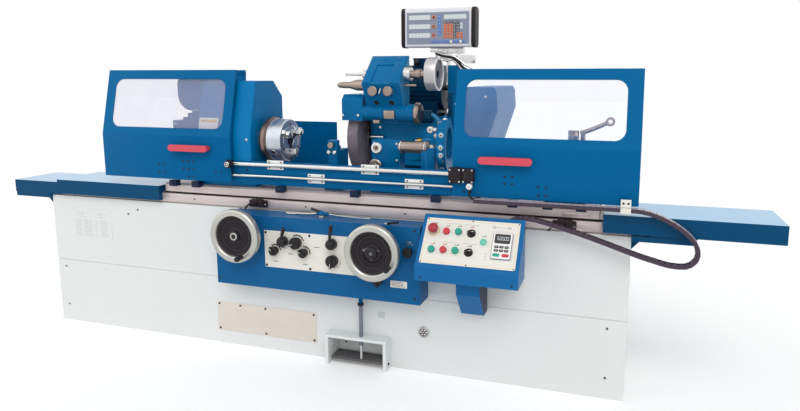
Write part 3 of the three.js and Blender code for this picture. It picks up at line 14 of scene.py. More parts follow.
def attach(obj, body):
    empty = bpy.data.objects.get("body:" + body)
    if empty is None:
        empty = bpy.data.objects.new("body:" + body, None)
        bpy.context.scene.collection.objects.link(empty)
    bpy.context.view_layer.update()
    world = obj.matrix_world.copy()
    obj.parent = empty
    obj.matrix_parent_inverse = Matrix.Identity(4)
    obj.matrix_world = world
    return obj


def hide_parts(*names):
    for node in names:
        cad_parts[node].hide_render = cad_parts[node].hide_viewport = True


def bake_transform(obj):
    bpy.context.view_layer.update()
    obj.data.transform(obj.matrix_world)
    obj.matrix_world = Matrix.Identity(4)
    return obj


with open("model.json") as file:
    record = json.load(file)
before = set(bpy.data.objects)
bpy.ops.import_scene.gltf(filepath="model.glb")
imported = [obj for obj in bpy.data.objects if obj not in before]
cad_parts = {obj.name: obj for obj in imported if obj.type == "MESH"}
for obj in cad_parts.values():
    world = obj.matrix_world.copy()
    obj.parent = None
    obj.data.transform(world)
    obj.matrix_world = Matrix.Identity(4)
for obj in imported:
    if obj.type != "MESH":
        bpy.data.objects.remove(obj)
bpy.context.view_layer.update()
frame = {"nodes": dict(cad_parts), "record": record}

METRE = 0.001
ORIGIN = (0, 0, 0)
FULL_TURN = 2 * math.pi
QUARTER_TURN = math.pi / 2

# Camera, at the photograph's place and frame
PHOTO_WIDTH = 800
SHIFT_RIGHT, SHIFT_UP = -30, -35.5
SENSOR_WIDTH, LENS = 36, 27.9
CAMERA_PLACE = (1.408, -2.672, 1.300)
CAMERA_TILT, CAMERA_TURN = math.radians(81.38), math.radians(17.49)


def make_camera():
    data = bpy.data.cameras.new("photo_camera")
    data.sensor_width = SENSOR_WIDTH
    data.lens = LENS
    data.shift_x = SHIFT_RIGHT / PHOTO_WIDTH
    data.shift_y = SHIFT_UP / PHOTO_WIDTH
    data.clip_end = 100
    camera = bpy.data.objects.new("photo_camera", data)
    camera.location = CAMERA_PLACE
    camera.rotation_euler = (CAMERA_TILT, 0, CAMERA_TURN)
    bpy.context.scene.collection.objects.link(camera)
    bpy.context.scene.camera = camera


make_camera()


# Colours and shader nodes
def linear(red, green, blue):
    """A screen colour of 0 to 255 as the linear colour that a shader takes."""

    def channel(value):
        share = value / 255
        return share / 12.92 if share <= 0.04045 else ((share + 0.055) / 1.055) ** 2.4

    return (channel(red), channel(green), channel(blue), 1.0)


def node(tree, kind, *places, sockets=None, **settings):
    """A new node with its settings, its inputs in order, and its inputs by name."""
    made = tree.nodes.new(kind if kind.startswith("NodeGroup") else "ShaderNode" + kind)
    for name, value in settings.items():
        setattr(made, name, value)
    pairs = [(made.inputs[place], value) for place, value in enumerate(places) if value is not None]
    pairs += [(made.inputs[name], value) for name, value in (sockets or {}).items()]
    for socket, value in pairs:
        if isinstance(value, bpy.types.NodeSocket):
            tree.links.new(value, socket)
        else:
            socket.default_value = value
    return made


def new_group(name, inputs):
    """An empty shader node group that gives a colour, a roughness and a height."""
    tree = bpy.data.node_groups.new(name, "ShaderNodeTree")
    kinds = {4: "NodeSocketColor", 3: "NodeSocketVector", 1: "NodeSocketFloat"}
    results = {"Colour": kinds[4], "Roughness": kinds[1], "Height": kinds[1]}
    for label, value in inputs:
        size = len(value) if isinstance(value, tuple) else 1
        socket = tree.interface.new_socket(name=label, in_out="INPUT", socket_type=kinds[size])
        socket.default_value = value
    for label, kind in results.items():
        tree.interface.new_socket(name=label, in_out="OUTPUT", socket_type=kind)
    return tree, node(tree, "NodeGroupInput"), node(tree, "NodeGroupOutput")


def maths(tree, operation, a, b, c=None, clamp=False):
    return node(tree, "Math", a, b, c, operation=operation, use_clamp=clamp).outputs[0]


def noise(tree, coords, scale, detail=3.0, rough=0.5):
    sockets = {"Vector": coords, "Scale": scale, "Detail": detail, "Roughness": rough}
    return node(tree, "TexNoise", sockets=sockets).outputs["Fac"]


def mixed(tree, share, first, second):
    """A mix of two colours, which are a Mix node's seventh and eighth inputs."""
    return node(tree, "Mix", share, None, None, None, None, None, first, second, data_type="RGBA").outputs[2]


def spread(tree, value, low, high):
    sockets = {"Value": value, "From Min": low, "From Max": high}
    return node(tree, "MapRange", sockets=sockets).outputs[0]


def edge_mask(tree, reach):
    """Where the surface turns sharply within a reach, as a worn edge does."""
    rounded = node(tree, "Bevel", samples=4, sockets={"Radius": reach}).outputs[0]
    flat = node(tree, "NewGeometry").outputs["Normal"]
    turn = node(tree, "VectorMath", rounded, flat, operation="DOT_PRODUCT").outputs["Value"]
    return spread(tree, maths(tree, "SUBTRACT", 1.0, turn), 0.02, 0.25)


def give(tree, given, result, colour, shade, share, height):
    """Puts out a colour, a roughness that varies round the sheen by a share of a shade, and a height."""
    varied = maths(tree, "MULTIPLY_ADD", maths(tree, "SUBTRACT", shade, 0.5), share, given.outputs["Sheen"])
    for label, value in (("Colour", colour), ("Roughness", varied), ("Height", height)):
        tree.links.new(value, result.inputs[label])
    return tree


def make_paint_group():
    """Sprayed paint: a cloudy tone, a fine orange peel, light dust and thin edges."""
    inputs = [
        ("Colour", (0.8, 0.8, 0.8, 1.0)),
        ("Tone", (0.7, 0.7, 0.7, 1.0)),
        ("Edge", (0.9, 0.9, 0.9, 1.0)),
        ("Cloud", 0.4),
        ("Wear", 0.3),
        ("Sheen", 0.3),
        ("Peel", 0.5),
    ]
    tree, given, result = new_group("sprayed_paint", inputs)
    coords = node(tree, "TexCoord").outputs["Object"]
    broad = spread(tree, noise(tree, coords, 2.6, 4.0), 0.3, 0.7)
    small = spread(tree, noise(tree, coords, 38.0, 3.0, 0.6), 0.35, 0.75)
    cloud = maths(tree, "MULTIPLY", maths(tree, "MULTIPLY_ADD", broad, 0.75, 0.5), given.outputs["Cloud"])
    tone = mixed(tree, cloud, given.outputs["Colour"], given.outputs["Tone"])
    chipped = maths(tree, "MULTIPLY", edge_mask(tree, 0.003), small)
    worn = maths(tree, "MULTIPLY", chipped, given.outputs["Wear"], clamp=True)
    colour = mixed(tree, worn, tone, given.outputs["Edge"])
    peel = maths(tree, "MULTIPLY", noise(tree, coords, 420.0, 2.0), given.outputs["Peel"])
    return give(tree, given, result, colour, broad, 0.08, peel)


def make_metal_group():
    """Machined metal: fine tool lines along one direction, cloudy oil and bright edges."""
    inputs = [
        ("Colour", (0.6, 0.6, 0.58, 1.0)),
        ("Tone", (0.4, 0.4, 0.38, 1.0)),
        ("Edge", (0.9, 0.9, 0.9, 1.0)),
        ("Cloud", 0.5),
        ("Wear", 0.4),
        ("Sheen", 0.3),
        ("Lines", (4.0, 700.0, 700.0)),
    ]
    tree, given, result = new_group("machined_metal", inputs)
    coords = node(tree, "TexCoord").outputs["Object"]
    drawn = node(tree, "Mapping", sockets={"Vector": coords, "Scale": given.outputs["Lines"]}).outputs[0]
    lines = spread(tree, noise(tree, drawn, 1.0, 2.0), 0.3, 0.7)
    broad = spread(tree, noise(tree, coords, 5.0, 4.0, 0.6), 0.35, 0.7)
    both = maths(tree, "ADD", maths(tree, "MULTIPLY", lines, 0.45), maths(tree, "MULTIPLY", broad, 0.55))
    cloud = maths(tree, "MULTIPLY", both, given.outputs["Cloud"])
    tone = mixed(tree, cloud, given.outputs["Colour"], given.outputs["Tone"])
    worn = maths(tree, "MULTIPLY", edge_mask(tree, 0.002), given.outputs["Wear"], clamp=True)
    colour = mixed(tree, worn, tone, given.outputs["Edge"])
    return give(tree, given, result, colour, both, 0.2, lines)


def make_grain_group():
    """Moulded or bonded grain: fine specks of a second tone with pits between them."""
    inputs = [
        ("Colour", (0.1, 0.1, 0.1, 1.0)),
        ("Tone", (0.2, 0.2, 0.2, 1.0)),
        ("Cloud", 0.5),
        ("Sheen", 0.5),
        ("Grain", 900.0),
    ]
    tree, given, result = new_group("moulded_grain", inputs)
    coords = node(tree, "TexCoord").outputs["Object"]
    places = {"Vector": coords, "Scale": given.outputs["Grain"]}
    cells = node(tree, "TexVoronoi", sockets=places).outputs["Distance"]
    broad = spread(tree, noise(tree, coords, 18.0, 4.0, 0.6), 0.3, 0.75)
    specks = maths(tree, "MULTIPLY", maths(tree, "ADD", spread(tree, cells, 0.1, 0.8), broad), 0.5)
    cloud = maths(tree, "MULTIPLY", specks, given.outputs["Cloud"])
    colour = mixed(tree, cloud, given.outputs["Colour"], given.outputs["Tone"])
    return give(tree, given, result, colour, broad, 0.15, cells)


COAT_ROUGHNESS = 0.12
paint_group = make_paint_group()
metal_group = make_metal_group()
grain_group = make_grain_group()


def new_material(name, group, values, bump, metallic=0.0, ior=1.45, coat=0.0, specular=0.5):
    """A material whose colour, roughness and bump come from one of the groups."""
    material = bpy.data.materials.new(name)
    material.use_nodes = True
    tree = material.node_tree
    shader = tree.nodes["Principled BSDF"]
    surface = tree.nodes.new("ShaderNodeGroup")
    surface.node_tree = group
    for label, value in values.items():
        surface.inputs[label].default_value = value
    relief = node(
        tree, "Bump", sockets={"Strength": 1.0, "Distance": bump, "Height": surface.outputs["Height"]}
    )
    tree.links.new(surface.outputs["Colour"], shader.inputs["Base Color"])
    tree.links.new(surface.outputs["Roughness"], shader.inputs["Roughness"])
    tree.links.new(relief.outputs[0], shader.inputs["Normal"])
    constants = {"Metallic": metallic, "IOR": ior, "Specular IOR Level": specular}
    constants |= {"Coat Weight": coat, "Coat Roughness": COAT_ROUGHNESS}
    for label, value in constants.items():
        shader.inputs[label].default_value = value
    return material


def painted(name, colour, tone, edge, cloud=0.4, wear=0.35, sheen=0.32, peel=0.5, ior=1.4, specular=0.16):
    """Sprayed paint in a colour, with a cloudy second tone and paler edges."""
    values = {"Colour": linear(*colour), "Tone": linear(*tone), "Edge": linear(*edge)}
    values |= {"Cloud": cloud, "Wear": wear, "Sheen": sheen, "Peel": peel}
    return new_material(name, paint_group, values, 0.00025, ior=ior, specular=specular)


def machined(name, colour, tone, lines, cloud=0.5, sheen=0.3, bump=0.00006, metallic=1.0):
    """Machined metal whose edges are a third brighter than its colour."""
    bright = tuple(min(1.0, c * 1.35) for c in linear(*colour)[:3]) + (1.0,)
    values = {"Colour": linear(*colour), "Tone": linear(*tone), "Edge": bright}
    values |= {"Cloud": cloud, "Wear": 0.3, "Sheen": sheen, "Lines": lines}
    return new_material(name, metal_group, values, bump, metallic=metallic)


def moulded(name, colour, tone, cloud=0.5, sheen=0.45, grain=900.0, bump=0.00015, coat=0.0, specular=0.35):
    """Moulded plastic, rubber or grit with specks of a second tone."""
    values = {
        "Colour": linear(*colour), "Tone": linear(*tone), "Cloud": cloud, "Sheen": sheen, "Grain": grain,
    }
    return new_material(name, grain_group, values, bump, coat=coat, specular=specular)


LINES_ALONG_X = (5.0, 650.0, 650.0)
LINES_AROUND_X = (900.0, 6.0, 6.0)
LINES_AROUND_Y = (6.0, 900.0, 6.0)

deep_blue = painted("deep_blue_paint", (0, 96, 148), (0, 89, 140), (36, 130, 178), specular=0.08)
# A slightly lighter copy of the deep blue for the doors' leaning parts: painted light on the upward slope.
slope_painted_light = painted("slope_painted_light_paint", (2, 99, 151), (0, 92, 143), (40, 134, 182), specular=0.1)
sky_blue = painted("sky_blue_paint", (22, 94, 146), (14, 84, 134), (90, 150, 194), specular=0.12)
desk_blue = painted("desk_blue_paint", (24, 103, 160), (16, 93, 148), (96, 156, 200))
cover_blue = painted("cover_blue_paint", (0, 72, 112), (0, 62, 99), (90, 150, 188))
# A pale blue for the tops of the trays and covers: a painted reflection of the bright surroundings seen at a
# grazing angle.
cover_painted_reflection = painted(
    "cover_painted_reflection_paint", (140, 194, 230), (116, 176, 216), (204, 226, 242), sheen=0.16, ior=1.6, specular=0.6
)
# Its strong pale edges are partly wear and partly a painted highlight along the casting edges.
casting_blue = painted(
    "casting_blue_paint", (0, 112, 166), (0, 88, 138), (96, 178, 216), 0.6, 0.8, 0.3, 2.0, specular=0.16
)
workhead_blue = painted(
    "workhead_blue_paint", (4, 122, 180), (0, 104, 160), (60, 156, 204), 0.5, 0.4, 0.3, 1.0, specular=0.14
)
# A lighter blue for the wheelhead's front faces: painted light against the shade that falls there.
front_painted_light = painted(
    "wheelhead_front_painted_light", (14, 146, 206), (4, 118, 176), (96, 178, 216), 0.5, 0.4, 0.3, 1.5, specular=0.14
)
bed_white = painted("bed_white_paint", (224, 226, 225), (216, 219, 218), (238, 238, 238), 0.5, 0.2, 0.4, 0.8)
plate_cream = painted("plate_cream", (228, 226, 218), (217, 214, 205), (250, 250, 248), 0.4, 0.2, 0.35, 0.1)
trim_white = painted("trim_white", (238, 238, 236), (222, 222, 220), (252, 252, 250), 0.4, 0.2, 0.3, 0.2)
table_steel = machined(
    "table_steel", (212, 201, 199), (186, 174, 171), LINES_ALONG_X, 0.6, 0.42, metallic=0.4
)
bright_steel = machined("bright_steel", (222, 222, 220), (176, 176, 176), LINES_ALONG_X, 0.4, 0.22)
rim_steel = machined("rim_steel", (198, 198, 192), (160, 158, 152), LINES_AROUND_Y, 0.5, 0.36, metallic=0.8)
turned_steel = machined(
    "turned_steel", (224, 224, 224), (160, 160, 162), LINES_AROUND_X, 0.55, 0.2, bump=0.0001
)
chuck_steel = machined("chuck_steel", (228, 232, 240), (150, 154, 164), LINES_AROUND_X, 0.8, 0.3, bump=0.0001)
back_plate = machined("oiled_back_plate", (150, 128, 118), (104, 84, 78), LINES_AROUND_X, 0.6, 0.36)
bronze_steel = machined("oiled_steel", (170, 156, 146), (122, 106, 98), LINES_AROUND_X, 0.6, 0.32)
brushed_plate = machined("brushed_plate", (232, 224, 214), (206, 196, 184), LINES_ALONG_X, 0.5, 0.4)
brass = machined("brass", (206, 172, 96), (160, 126, 64), LINES_AROUND_Y, 0.5, 0.3)
# Dark navy: the strip clamps' own colour, and painted shade on the desk foot's right side.
navy_and_painted_shade = painted("navy_and_painted_shade", (30, 48, 76), (20, 34, 58), (70, 100, 140))
motor_blue = painted("motor_blue", (6, 66, 98), (0, 52, 80), (60, 120, 160), 0.6, 0.4, 0.35, 1.5)
dark_iron = painted("dark_iron", (58, 50, 50), (40, 34, 36), (120, 112, 108), 0.6, 0.6, 0.5, 2.5)
black_plastic = moulded("black_plastic", (26, 23, 26), (44, 40, 43), 0.6, 0.38)
dish_line = moulded("dish_line", (52, 46, 52), (66, 60, 66), 0.6, 0.4, 500.0, specular=0.3)
black_satin = moulded("black_satin", (30, 25, 30), (46, 40, 46), 0.6, 0.5, 500.0, specular=0.2)
red_plastic = moulded("red_plastic", (212, 66, 84), (196, 52, 72), 0.5, 0.24, coat=0.7)
stop_red = moulded("stop_red", (168, 52, 66), (140, 38, 52), 0.5, 0.3)
button_red = moulded("button_red", (200, 60, 74), (176, 44, 58), 0.4, 0.3)
button_green = moulded("button_green", (40, 160, 136), (26, 134, 112), 0.4, 0.3)
lamp_green = moulded("lamp_green", (110, 196, 172), (84, 172, 148), 0.4, 0.22)
key_orange = moulded("key_orange", (228, 130, 88), (212, 112, 74), 0.4, 0.4)
key_grey = moulded("key_grey", (120, 124, 136), (96, 100, 112), 0.4, 0.4)
grey_face = moulded("grey_face", (134, 142, 160), (122, 130, 150), 0.4, 0.4)
silver_frame = moulded("silver_frame", (222, 222, 228), (208, 208, 216), 0.4, 0.35)
cup_silver = machined("cup_silver", (206, 204, 204), (150, 146, 148), LINES_AROUND_X, 0.6, 0.3, metallic=0.6)
cup_inside = machined("cup_inside", (150, 146, 152), (104, 98, 106), LINES_AROUND_X, 0.6, 0.4, metallic=0.5)
# A paler, lit copy of the casting blue: painted light on the bracket's right side and the ring steady's end
# faces, and a plain pale blue on the hose, valves and rings.
pale_blue_and_painted_light = painted("lit_casting_paint", (66, 148, 194), (20, 118, 170), (168, 214, 236), 0.6, 0.9, 0.3, 2.0)
key_blue = moulded("key_blue", (84, 128, 200), (66, 108, 184), 0.4, 0.4)
label_grey = moulded("label_grey", (200, 204, 204), (188, 192, 192), 0.4, 0.5)
mark_grey = moulded("mark_grey", (96, 96, 100), (120, 120, 124), 0.4, 0.5)
mark_red = moulded("mark_red", (206, 40, 44), (186, 30, 36), 0.4, 0.5)
yellow_ring = moulded("yellow_ring", (228, 196, 126), (214, 178, 104), 0.4, 0.4)
chain_plastic = moulded("chain_plastic", (74, 62, 74), (52, 42, 54), 0.7, 0.5, 300.0)
# A pale grey for the chain's upper bars: a painted highlight along its top edge.
link_painted_highlight = moulded("link_painted_highlight", (186, 178, 188), (160, 152, 164), 0.6, 0.36, 300.0)
wheel_grit = moulded("wheel_grit", (150, 140, 146), (104, 96, 104), 0.9, 0.85, 1400.0, 0.0006)
rubber_mat = moulded("rubber_mat", (104, 104, 106), (72, 72, 74), 0.8, 0.8, 420.0, 0.0012)
display_dark = moulded("display_dark", (34, 26, 30), (52, 36, 40), 0.5, 0.15, 200.0, 0.00002, coat=1.0)


def make_glow(name, colour, tone, strength):
    """A lit segment colour that varies a little over the display."""
    material = moulded(name, colour, tone, 0.5, 0.3)
    shader = material.node_tree.nodes["Principled BSDF"]
    surface = next(n for n in material.node_tree.nodes if n.type == "GROUP")
    material.node_tree.links.new(surface.outputs["Colour"], shader.inputs["Emission Color"])
    shader.inputs["Emission Strength"].default_value = strength
    return material


digit_pale = make_glow("digit_pale", (214, 226, 226), (190, 204, 204), 0.4)
display_pale = moulded("display_pale", (198, 200, 202), (184, 186, 190), 0.5, 0.2, coat=0.5)


def make_clear(name, colour, alpha, roughness):
    """A clear acrylic pane, pale and partly opaque as a whitish film and a painted reflection, with a faint
    haze of dust.
    """
    material = painted(name, colour, colour, colour, 0.3, 0.1, roughness, 0.05)
    shader = material.node_tree.nodes["Principled BSDF"]
    tree = material.node_tree
    coords = node(tree, "TexCoord").outputs["Object"]
    haze = spread(tree, noise(tree, coords, 9.0, 4.0), 0.3, 0.8)
    tree.links.new(maths(tree, "MULTIPLY_ADD", haze, 0.05, alpha), shader.inputs["Alpha"])
    return material


# The left pane is paler and less clear, a film with a painted reflection; the right pane has only a trace of
# it.
film_and_painted_reflection_pane = make_clear("film_and_painted_reflection_pane", (194, 194, 216), 0.2, 0.12)
clear_pane = make_clear("clear_pane", (190, 210, 255), 0.07, 0.12)
sight_glass = moulded("sight_glass", (64, 56, 58), (40, 34, 38), 0.6, 0.1, 160.0, 0.00005, coat=1.0)


WAYS_HEIGHT = 684.5


def make_way_paint():
    """The bed's paint, with bare ground metal on the ways above its shoulder."""
    material = painted(
        "bed_paint_and_ways", (224, 226, 225), (216, 219, 218), (238, 238, 238), 0.5, 0.2, 0.4, 0.8
    )
    tree = material.node_tree
    shader = tree.nodes["Principled BSDF"]
    coords = node(tree, "TexCoord").outputs["Object"]
    height = node(tree, "SeparateXYZ", coords).outputs["Z"]
    above = maths(tree, "GREATER_THAN", height, WAYS_HEIGHT * METRE)
    steel = tree.nodes.new("ShaderNodeGroup")
    steel.node_tree = metal_group
    steel.inputs["Colour"].default_value = linear(206, 198, 188)
    steel.inputs["Tone"].default_value = linear(168, 158, 147)
    paint = shader.inputs["Base Color"].links[0].from_socket
    tree.links.new(mixed(tree, above, paint, steel.outputs["Colour"]), shader.inputs["Base Color"])
    tree.links.new(above, shader.inputs["Metallic"])
    return material


way_paint = make_way_paint()


# Shapes, each a small bmesh in millimetres
def at(x, y, z):
    return Matrix.Translation((x, y, z))


def turn_about(axis, degrees):
    return Matrix.Rotation(math.radians(degrees), 4, axis)


def merged(shape, reach=0.01):
    bmesh.ops.remove_doubles(shape, verts=shape.verts[:], dist=reach)
    return shape


def bevel(shape, edges, width, steps=2):
    if edges and width > 0:
        bmesh.ops.bevel(
            shape,
            geom=edges,
            offset=width,
            offset_type="OFFSET",
            affect="EDGES",
            segments=steps,
            profile=0.5,
            material=-1,
            clamp_overlap=True,
        )
    return shape


def block(x0, x1, y0, y1, z0, z1, edge=1.0, steps=2):
    """A box between six places, with its edges rounded."""
    shape = bmesh.new()
    size = Matrix.Diagonal((x1 - x0, y1 - y0, z1 - z0, 1.0))
    middle = at((x0 + x1) / 2, (y0 + y1) / 2, (z0 + z1) / 2)
    bmesh.ops.create_cube(shape, size=1.0, matrix=middle @ size)
    return bevel(shape, shape.edges[:], edge, steps)


AXIS_TURNS = {
    "x": Matrix(((0, 0, 1, 0), (1, 0, 0, 0), (0, 1, 0, 0), (0, 0, 0, 1))),
    "y": Matrix(((0, 1, 0, 0), (0, 0, 1, 0), (1, 0, 0, 0), (0, 0, 0, 1))),
    "z": Matrix.Identity(4),
}


def laid(shape, matrix):
    bmesh.ops.transform(shape, matrix=matrix, verts=shape.verts[:])
    return shape


def drawn_out(shape, faces, depth):
    """Draws flat faces out along z into a solid."""
    drawn = bmesh.ops.extrude_face_region(shape, geom=faces)
    moved = [v for v in drawn["geom"] if isinstance(v, bmesh.types.BMVert)]
    bmesh.ops.translate(shape, verts=moved, vec=(0, 0, depth))


def prism(axis, outline, start, end, edge=1.0, steps=2):
    """An outline drawn out along an axis. Its points are (y, z) for x, (z, x) for y and (x, y) for z."""
    shape = bmesh.new()
    corners = [shape.verts.new((a, b, start)) for a, b in outline]
    drawn_out(shape, [shape.faces.new(corners)], end - start)
    bevel(shape, shape.edges[:], edge, steps)
    return laid(shape, AXIS_TURNS[axis])


def spun(axis, centre, section, sides, closed=False):
    """A line of (radius, distance) pairs spun about an axis through a centre."""
    shape = bmesh.new()
    points = [shape.verts.new((radius, 0, along)) for radius, along in section]
    line = [shape.edges.new(pair) for pair in zip(points, points[1:] + (points[:1] if closed else []))]
    bmesh.ops.spin(
        shape,
        geom=points + line,
        cent=(0, 0, 0),
        axis=(0, 0, 1),
        dvec=(0, 0, 0),
        angle=FULL_TURN,
        steps=sides,
        use_merge=True,
    )
    return laid(merged(shape), Matrix.Translation(centre) @ AXIS_TURNS[axis])


def turned(axis, centre, profile, sides=40):
    """A solid body spun about an axis through a centre, closed at both ends."""
    return spun(axis, centre, [(0, profile[0][1]), *profile, (0, profile[-1][1])], sides)


def rod(axis, radius, centre, start, end, edge=1.0, sides=32):
    """A round bar with chamfered ends."""
    profile = [(radius - edge, start), (radius, start + edge), (radius, end - edge), (radius - edge, end)]
    return turned(axis, centre, profile, sides)


def ring(axis, outer, inner, centre, start, end, edge=0.8, sides=40):
    """A closed band round an axis, open in the middle."""
    face = [(outer - edge, start), (outer, start + edge), (outer, end - edge), (outer - edge, end)]
    return spun(axis, centre, [(inner, start), *face, (inner, end)], sides, closed=True)


def ball(centre, radius, sides=24):
    shape = bmesh.new()
    bmesh.ops.create_uvsphere(
        shape, u_segments=sides, v_segments=sides // 2, radius=radius, matrix=Matrix.Translation(centre)
    )
    return shape


def edges_within(circle):
    return [e for e in {e for v in circle for e in v.link_edges} if all(v in circle for v in e.verts)]


def tube(points, radius, sides=12):
    """A round bar that follows points, carried square to its line, with closed ends."""
    shape = bmesh.new()
    places = [Vector(p) for p in points]
    rings = []
    side = None
    for i, place in enumerate(places):
        along = (places[min(i + 1, len(places) - 1)] - places[max(i - 1, 0)]).normalized()
        if side is None:
            side = along.orthogonal().normalized()
        side = (side - along * side.dot(along)).normalized()
        up = along.cross(side)
        circle = bmesh.ops.create_circle(shape, cap_ends=False, radius=radius, segments=sides)["verts"]
        turn = Matrix((side, up, along)).transposed().to_4x4()
        bmesh.ops.transform(shape, matrix=Matrix.Translation(place) @ turn, verts=circle)
        rings.append(circle)
    for first, second in zip(rings, rings[1:]):
        bmesh.ops.bridge_loops(shape, edges=edges_within(first) + edges_within(second))
    for circle in (rings[0], rings[-1]):
        bmesh.ops.contextual_create(shape, geom=edges_within(circle))
    return shape


def smooth_line(points, steps=8):
    """A smooth curve through points, with a few places between each pair."""
    made = []
    places = [Vector(p) for p in points]
    for i in range(len(places) - 1):
        a, b = places[max(i - 1, 0)], places[i]
        c, d = places[i + 1], places[min(i + 2, len(places) - 1)]
        for k in range(steps):
            t = k / steps
            bend = (2 * a - 5 * b + 4 * c - d) * t**2 + (3 * b - a - 3 * c + d) * t**3
            made.append(0.5 * (2 * b + (c - a) * t + bend))
    return made + [places[-1]]


def rounded_outline(x0, x1, z0, z1, corner, steps=6):
    """The points of a rectangle with round corners, anticlockwise."""
    left, right, low, high = x0 + corner, x1 - corner, z0 + corner, z1 - corner
    points = []
    for x, z, start in ((right, low, -90), (right, high, 0), (left, high, 90), (left, low, 180)):
        for k in range(steps + 1):
            angle = math.radians(start + 90 * k / steps)
            points.append((x + corner * math.cos(angle), z + corner * math.sin(angle)))
    return points


def plate(outline, hole, depth, edge=0.5):
    """A flat plate around z from nought to its depth, with an opening if a hole is given."""
    shape = bmesh.new()

    def loop(points):
        corners = [shape.verts.new((a, b, 0)) for a, b in points]
        return [shape.edges.new(pair) for pair in zip(corners, corners[1:] + corners[:1])]

    edges = loop(outline) + (loop(hole) if hole else [])
    bmesh.ops.triangle_fill(shape, use_beauty=True, use_dissolve=False, edges=edges, normal=(0, 0, 1))
    drawn_out(shape, shape.faces[:], depth)
    bmesh.ops.recalc_face_normals(shape, faces=shape.faces[:])
    sharp = [e for e in shape.edges if len(e.link_faces) == 2 and e.calc_face_angle() > 1.2]
    return bevel(shape, sharp, edge, 1)


FACING_FRONT = Matrix(((1, 0, 0, 0), (0, 0, -1, 0), (0, 1, 0, 0), (0, 0, 0, 1)))


def facing(x, y, z):
    """Stands a shape made around +z at a place, with its face towards the front."""
    return at(x, y, z) @ FACING_FRONT


def grid(xs, y, zs):
    """Every place on a front face that has one of some xs and one of some zs."""
    return [(x, y, z) for x in xs for z in zs]


def circle_places(axis, centre, radius, count, first=0.0):
    """Places spread evenly on a circle round x or y, from a first angle."""
    x, y, z = centre
    angles = [first + FULL_TURN * k / count for k in range(count)]
    if axis == "x":
        return [(x, y + radius * math.cos(a), z + radius * math.sin(a)) for a in angles]
    return [(x + radius * math.cos(a), y, z + radius * math.sin(a)) for a in angles]


class Piece:
    """One visible piece: shapes are added with the number of their finish, then it is done."""

    def __init__(self, name, body, *finishes, slot=None, stands_for=()):
        self.name, self.body, self.finishes = name, body, finishes
        self.slot, self.stands_for = slot, stands_for
        self.mesh = bmesh.new()

    def add(self, shape, finish=0, matrix=None):
        if matrix:
            laid(shape, matrix)
        for face in shape.faces:
            face.material_index = finish
        return self.take(shape)

    def take(self, shape):
        part = bpy.data.meshes.new("part")
        shape.to_mesh(part)
        shape.free()
        self.mesh.from_mesh(part)
        bpy.data.meshes.remove(part)
        return self

    def done(self, smooth=32, outwards=True):
        if outwards:
            bmesh.ops.recalc_face_normals(self.mesh, faces=self.mesh.faces[:])
        bmesh.ops.scale(self.mesh, vec=(METRE,) * 3, verts=self.mesh.verts[:])
        data = bpy.data.meshes.new(self.name)
        self.mesh.to_mesh(data)
        self.mesh.free()
        for finish in self.finishes:
            data.materials.append(finish)
        data.shade_smooth()
        data.set_sharp_from_angle(angle=math.radians(smooth))
        made = bpy.data.objects.new(self.name, data)
        bpy.context.scene.collection.objects.link(made)
        if self.body:
            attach(made, self.body)
        if self.stands_for:
            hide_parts(*self.stands_for)
        return made


def add_screw(piece, stand, radius, height, finish, dark):
    """A screw head around z, stood up by a matrix, with a dark six-sided socket in it."""
    head = [(radius, 0), (radius, height * 0.7), (radius * 0.8, height), (radius * 0.5, height)]
    socket = [(radius * 0.45, height * 0.8), (radius * 0.45, height * 1.02)]
    piece.add(turned("z", ORIGIN, head, 20), finish, stand)
    piece.add(turned("z", ORIGIN, socket, 6), dark, stand)


def add_screws(piece, places, radius, height, finish=0, dark=1):
    """Screw heads at places on front faces."""
    for place in places:
        add_screw(piece, facing(*place), radius, height, finish, dark)


# CAD nodes that keep their shape
SHARP_EDGE = math.radians(28)
FLAT_TURN = math.radians(1.0)
RECESS_RIM, RECESS_DEPTH = 40, 4


def body_of(name):
    """The body that a CAD node belongs to."""
    return next(body for body, names in frame["record"]["behaviour"]["bodies"].items() if name in names)


BASE = body_of("bed")
TABLE = body_of("lower_table")
SWIVEL = body_of("swivel_table")
HEAD = body_of("wheelhead_body")


def paint_node(name, material):
    """A CAD node that stays as it is, with a better finish."""
    slots = frame["nodes"][name].data.materials
    slots.clear()
    slots.append(material)


def finished_copy(name, finishes, width, slot, choose=None, longest=14.0, recess=None):
    """A CAD node's own shape, merged, with its long edges rounded and its finishes chosen by place."""
    shape = bmesh.new()
    shape.from_mesh(frame["nodes"][name].data)
    bmesh.ops.scale(shape, vec=(1 / METRE,) * 3, verts=shape.verts[:])
    merged(shape, 0.02)
    for layer in list(shape.verts.layers.deform.values()):
        shape.verts.layers.deform.remove(layer)
    bmesh.ops.dissolve_limit(
        shape,
        angle_limit=FLAT_TURN,
        use_dissolve_boundaries=False,
        verts=shape.verts[:],
        edges=shape.edges[:],
    )
    for face in [f for f in shape.faces if recess and recess(f.calc_center_median(), f.normal)]:
        bmesh.ops.inset_region(
            shape, faces=[face], thickness=RECESS_RIM, depth=-RECESS_DEPTH, use_even_offset=True
        )
    for face in shape.faces:
        face.material_index = choose(face.calc_center_median(), face.normal) if choose else 0
    sharp = [e for e in shape.edges if len(e.link_faces) == 2 and e.calc_face_angle() > SHARP_EDGE]
    bevel(shape, [e for e in sharp if e.calc_length() > longest], width)
    piece = Piece(name + "_finished", body_of(name), *finishes, slot=slot, stands_for=(name,))
    piece.take(shape)
    made = piece.done(outwards=False)
    made.modifiers.new("even_shading", "WEIGHTED_NORMAL").keep_sharp = True


def detailed(name, *finishes, slot):
    """A new piece that stands for a CAD node, on that node's body."""
    return Piece(name + "_detailed", body_of(name), *finishes, slot=slot, stands_for=(name,))


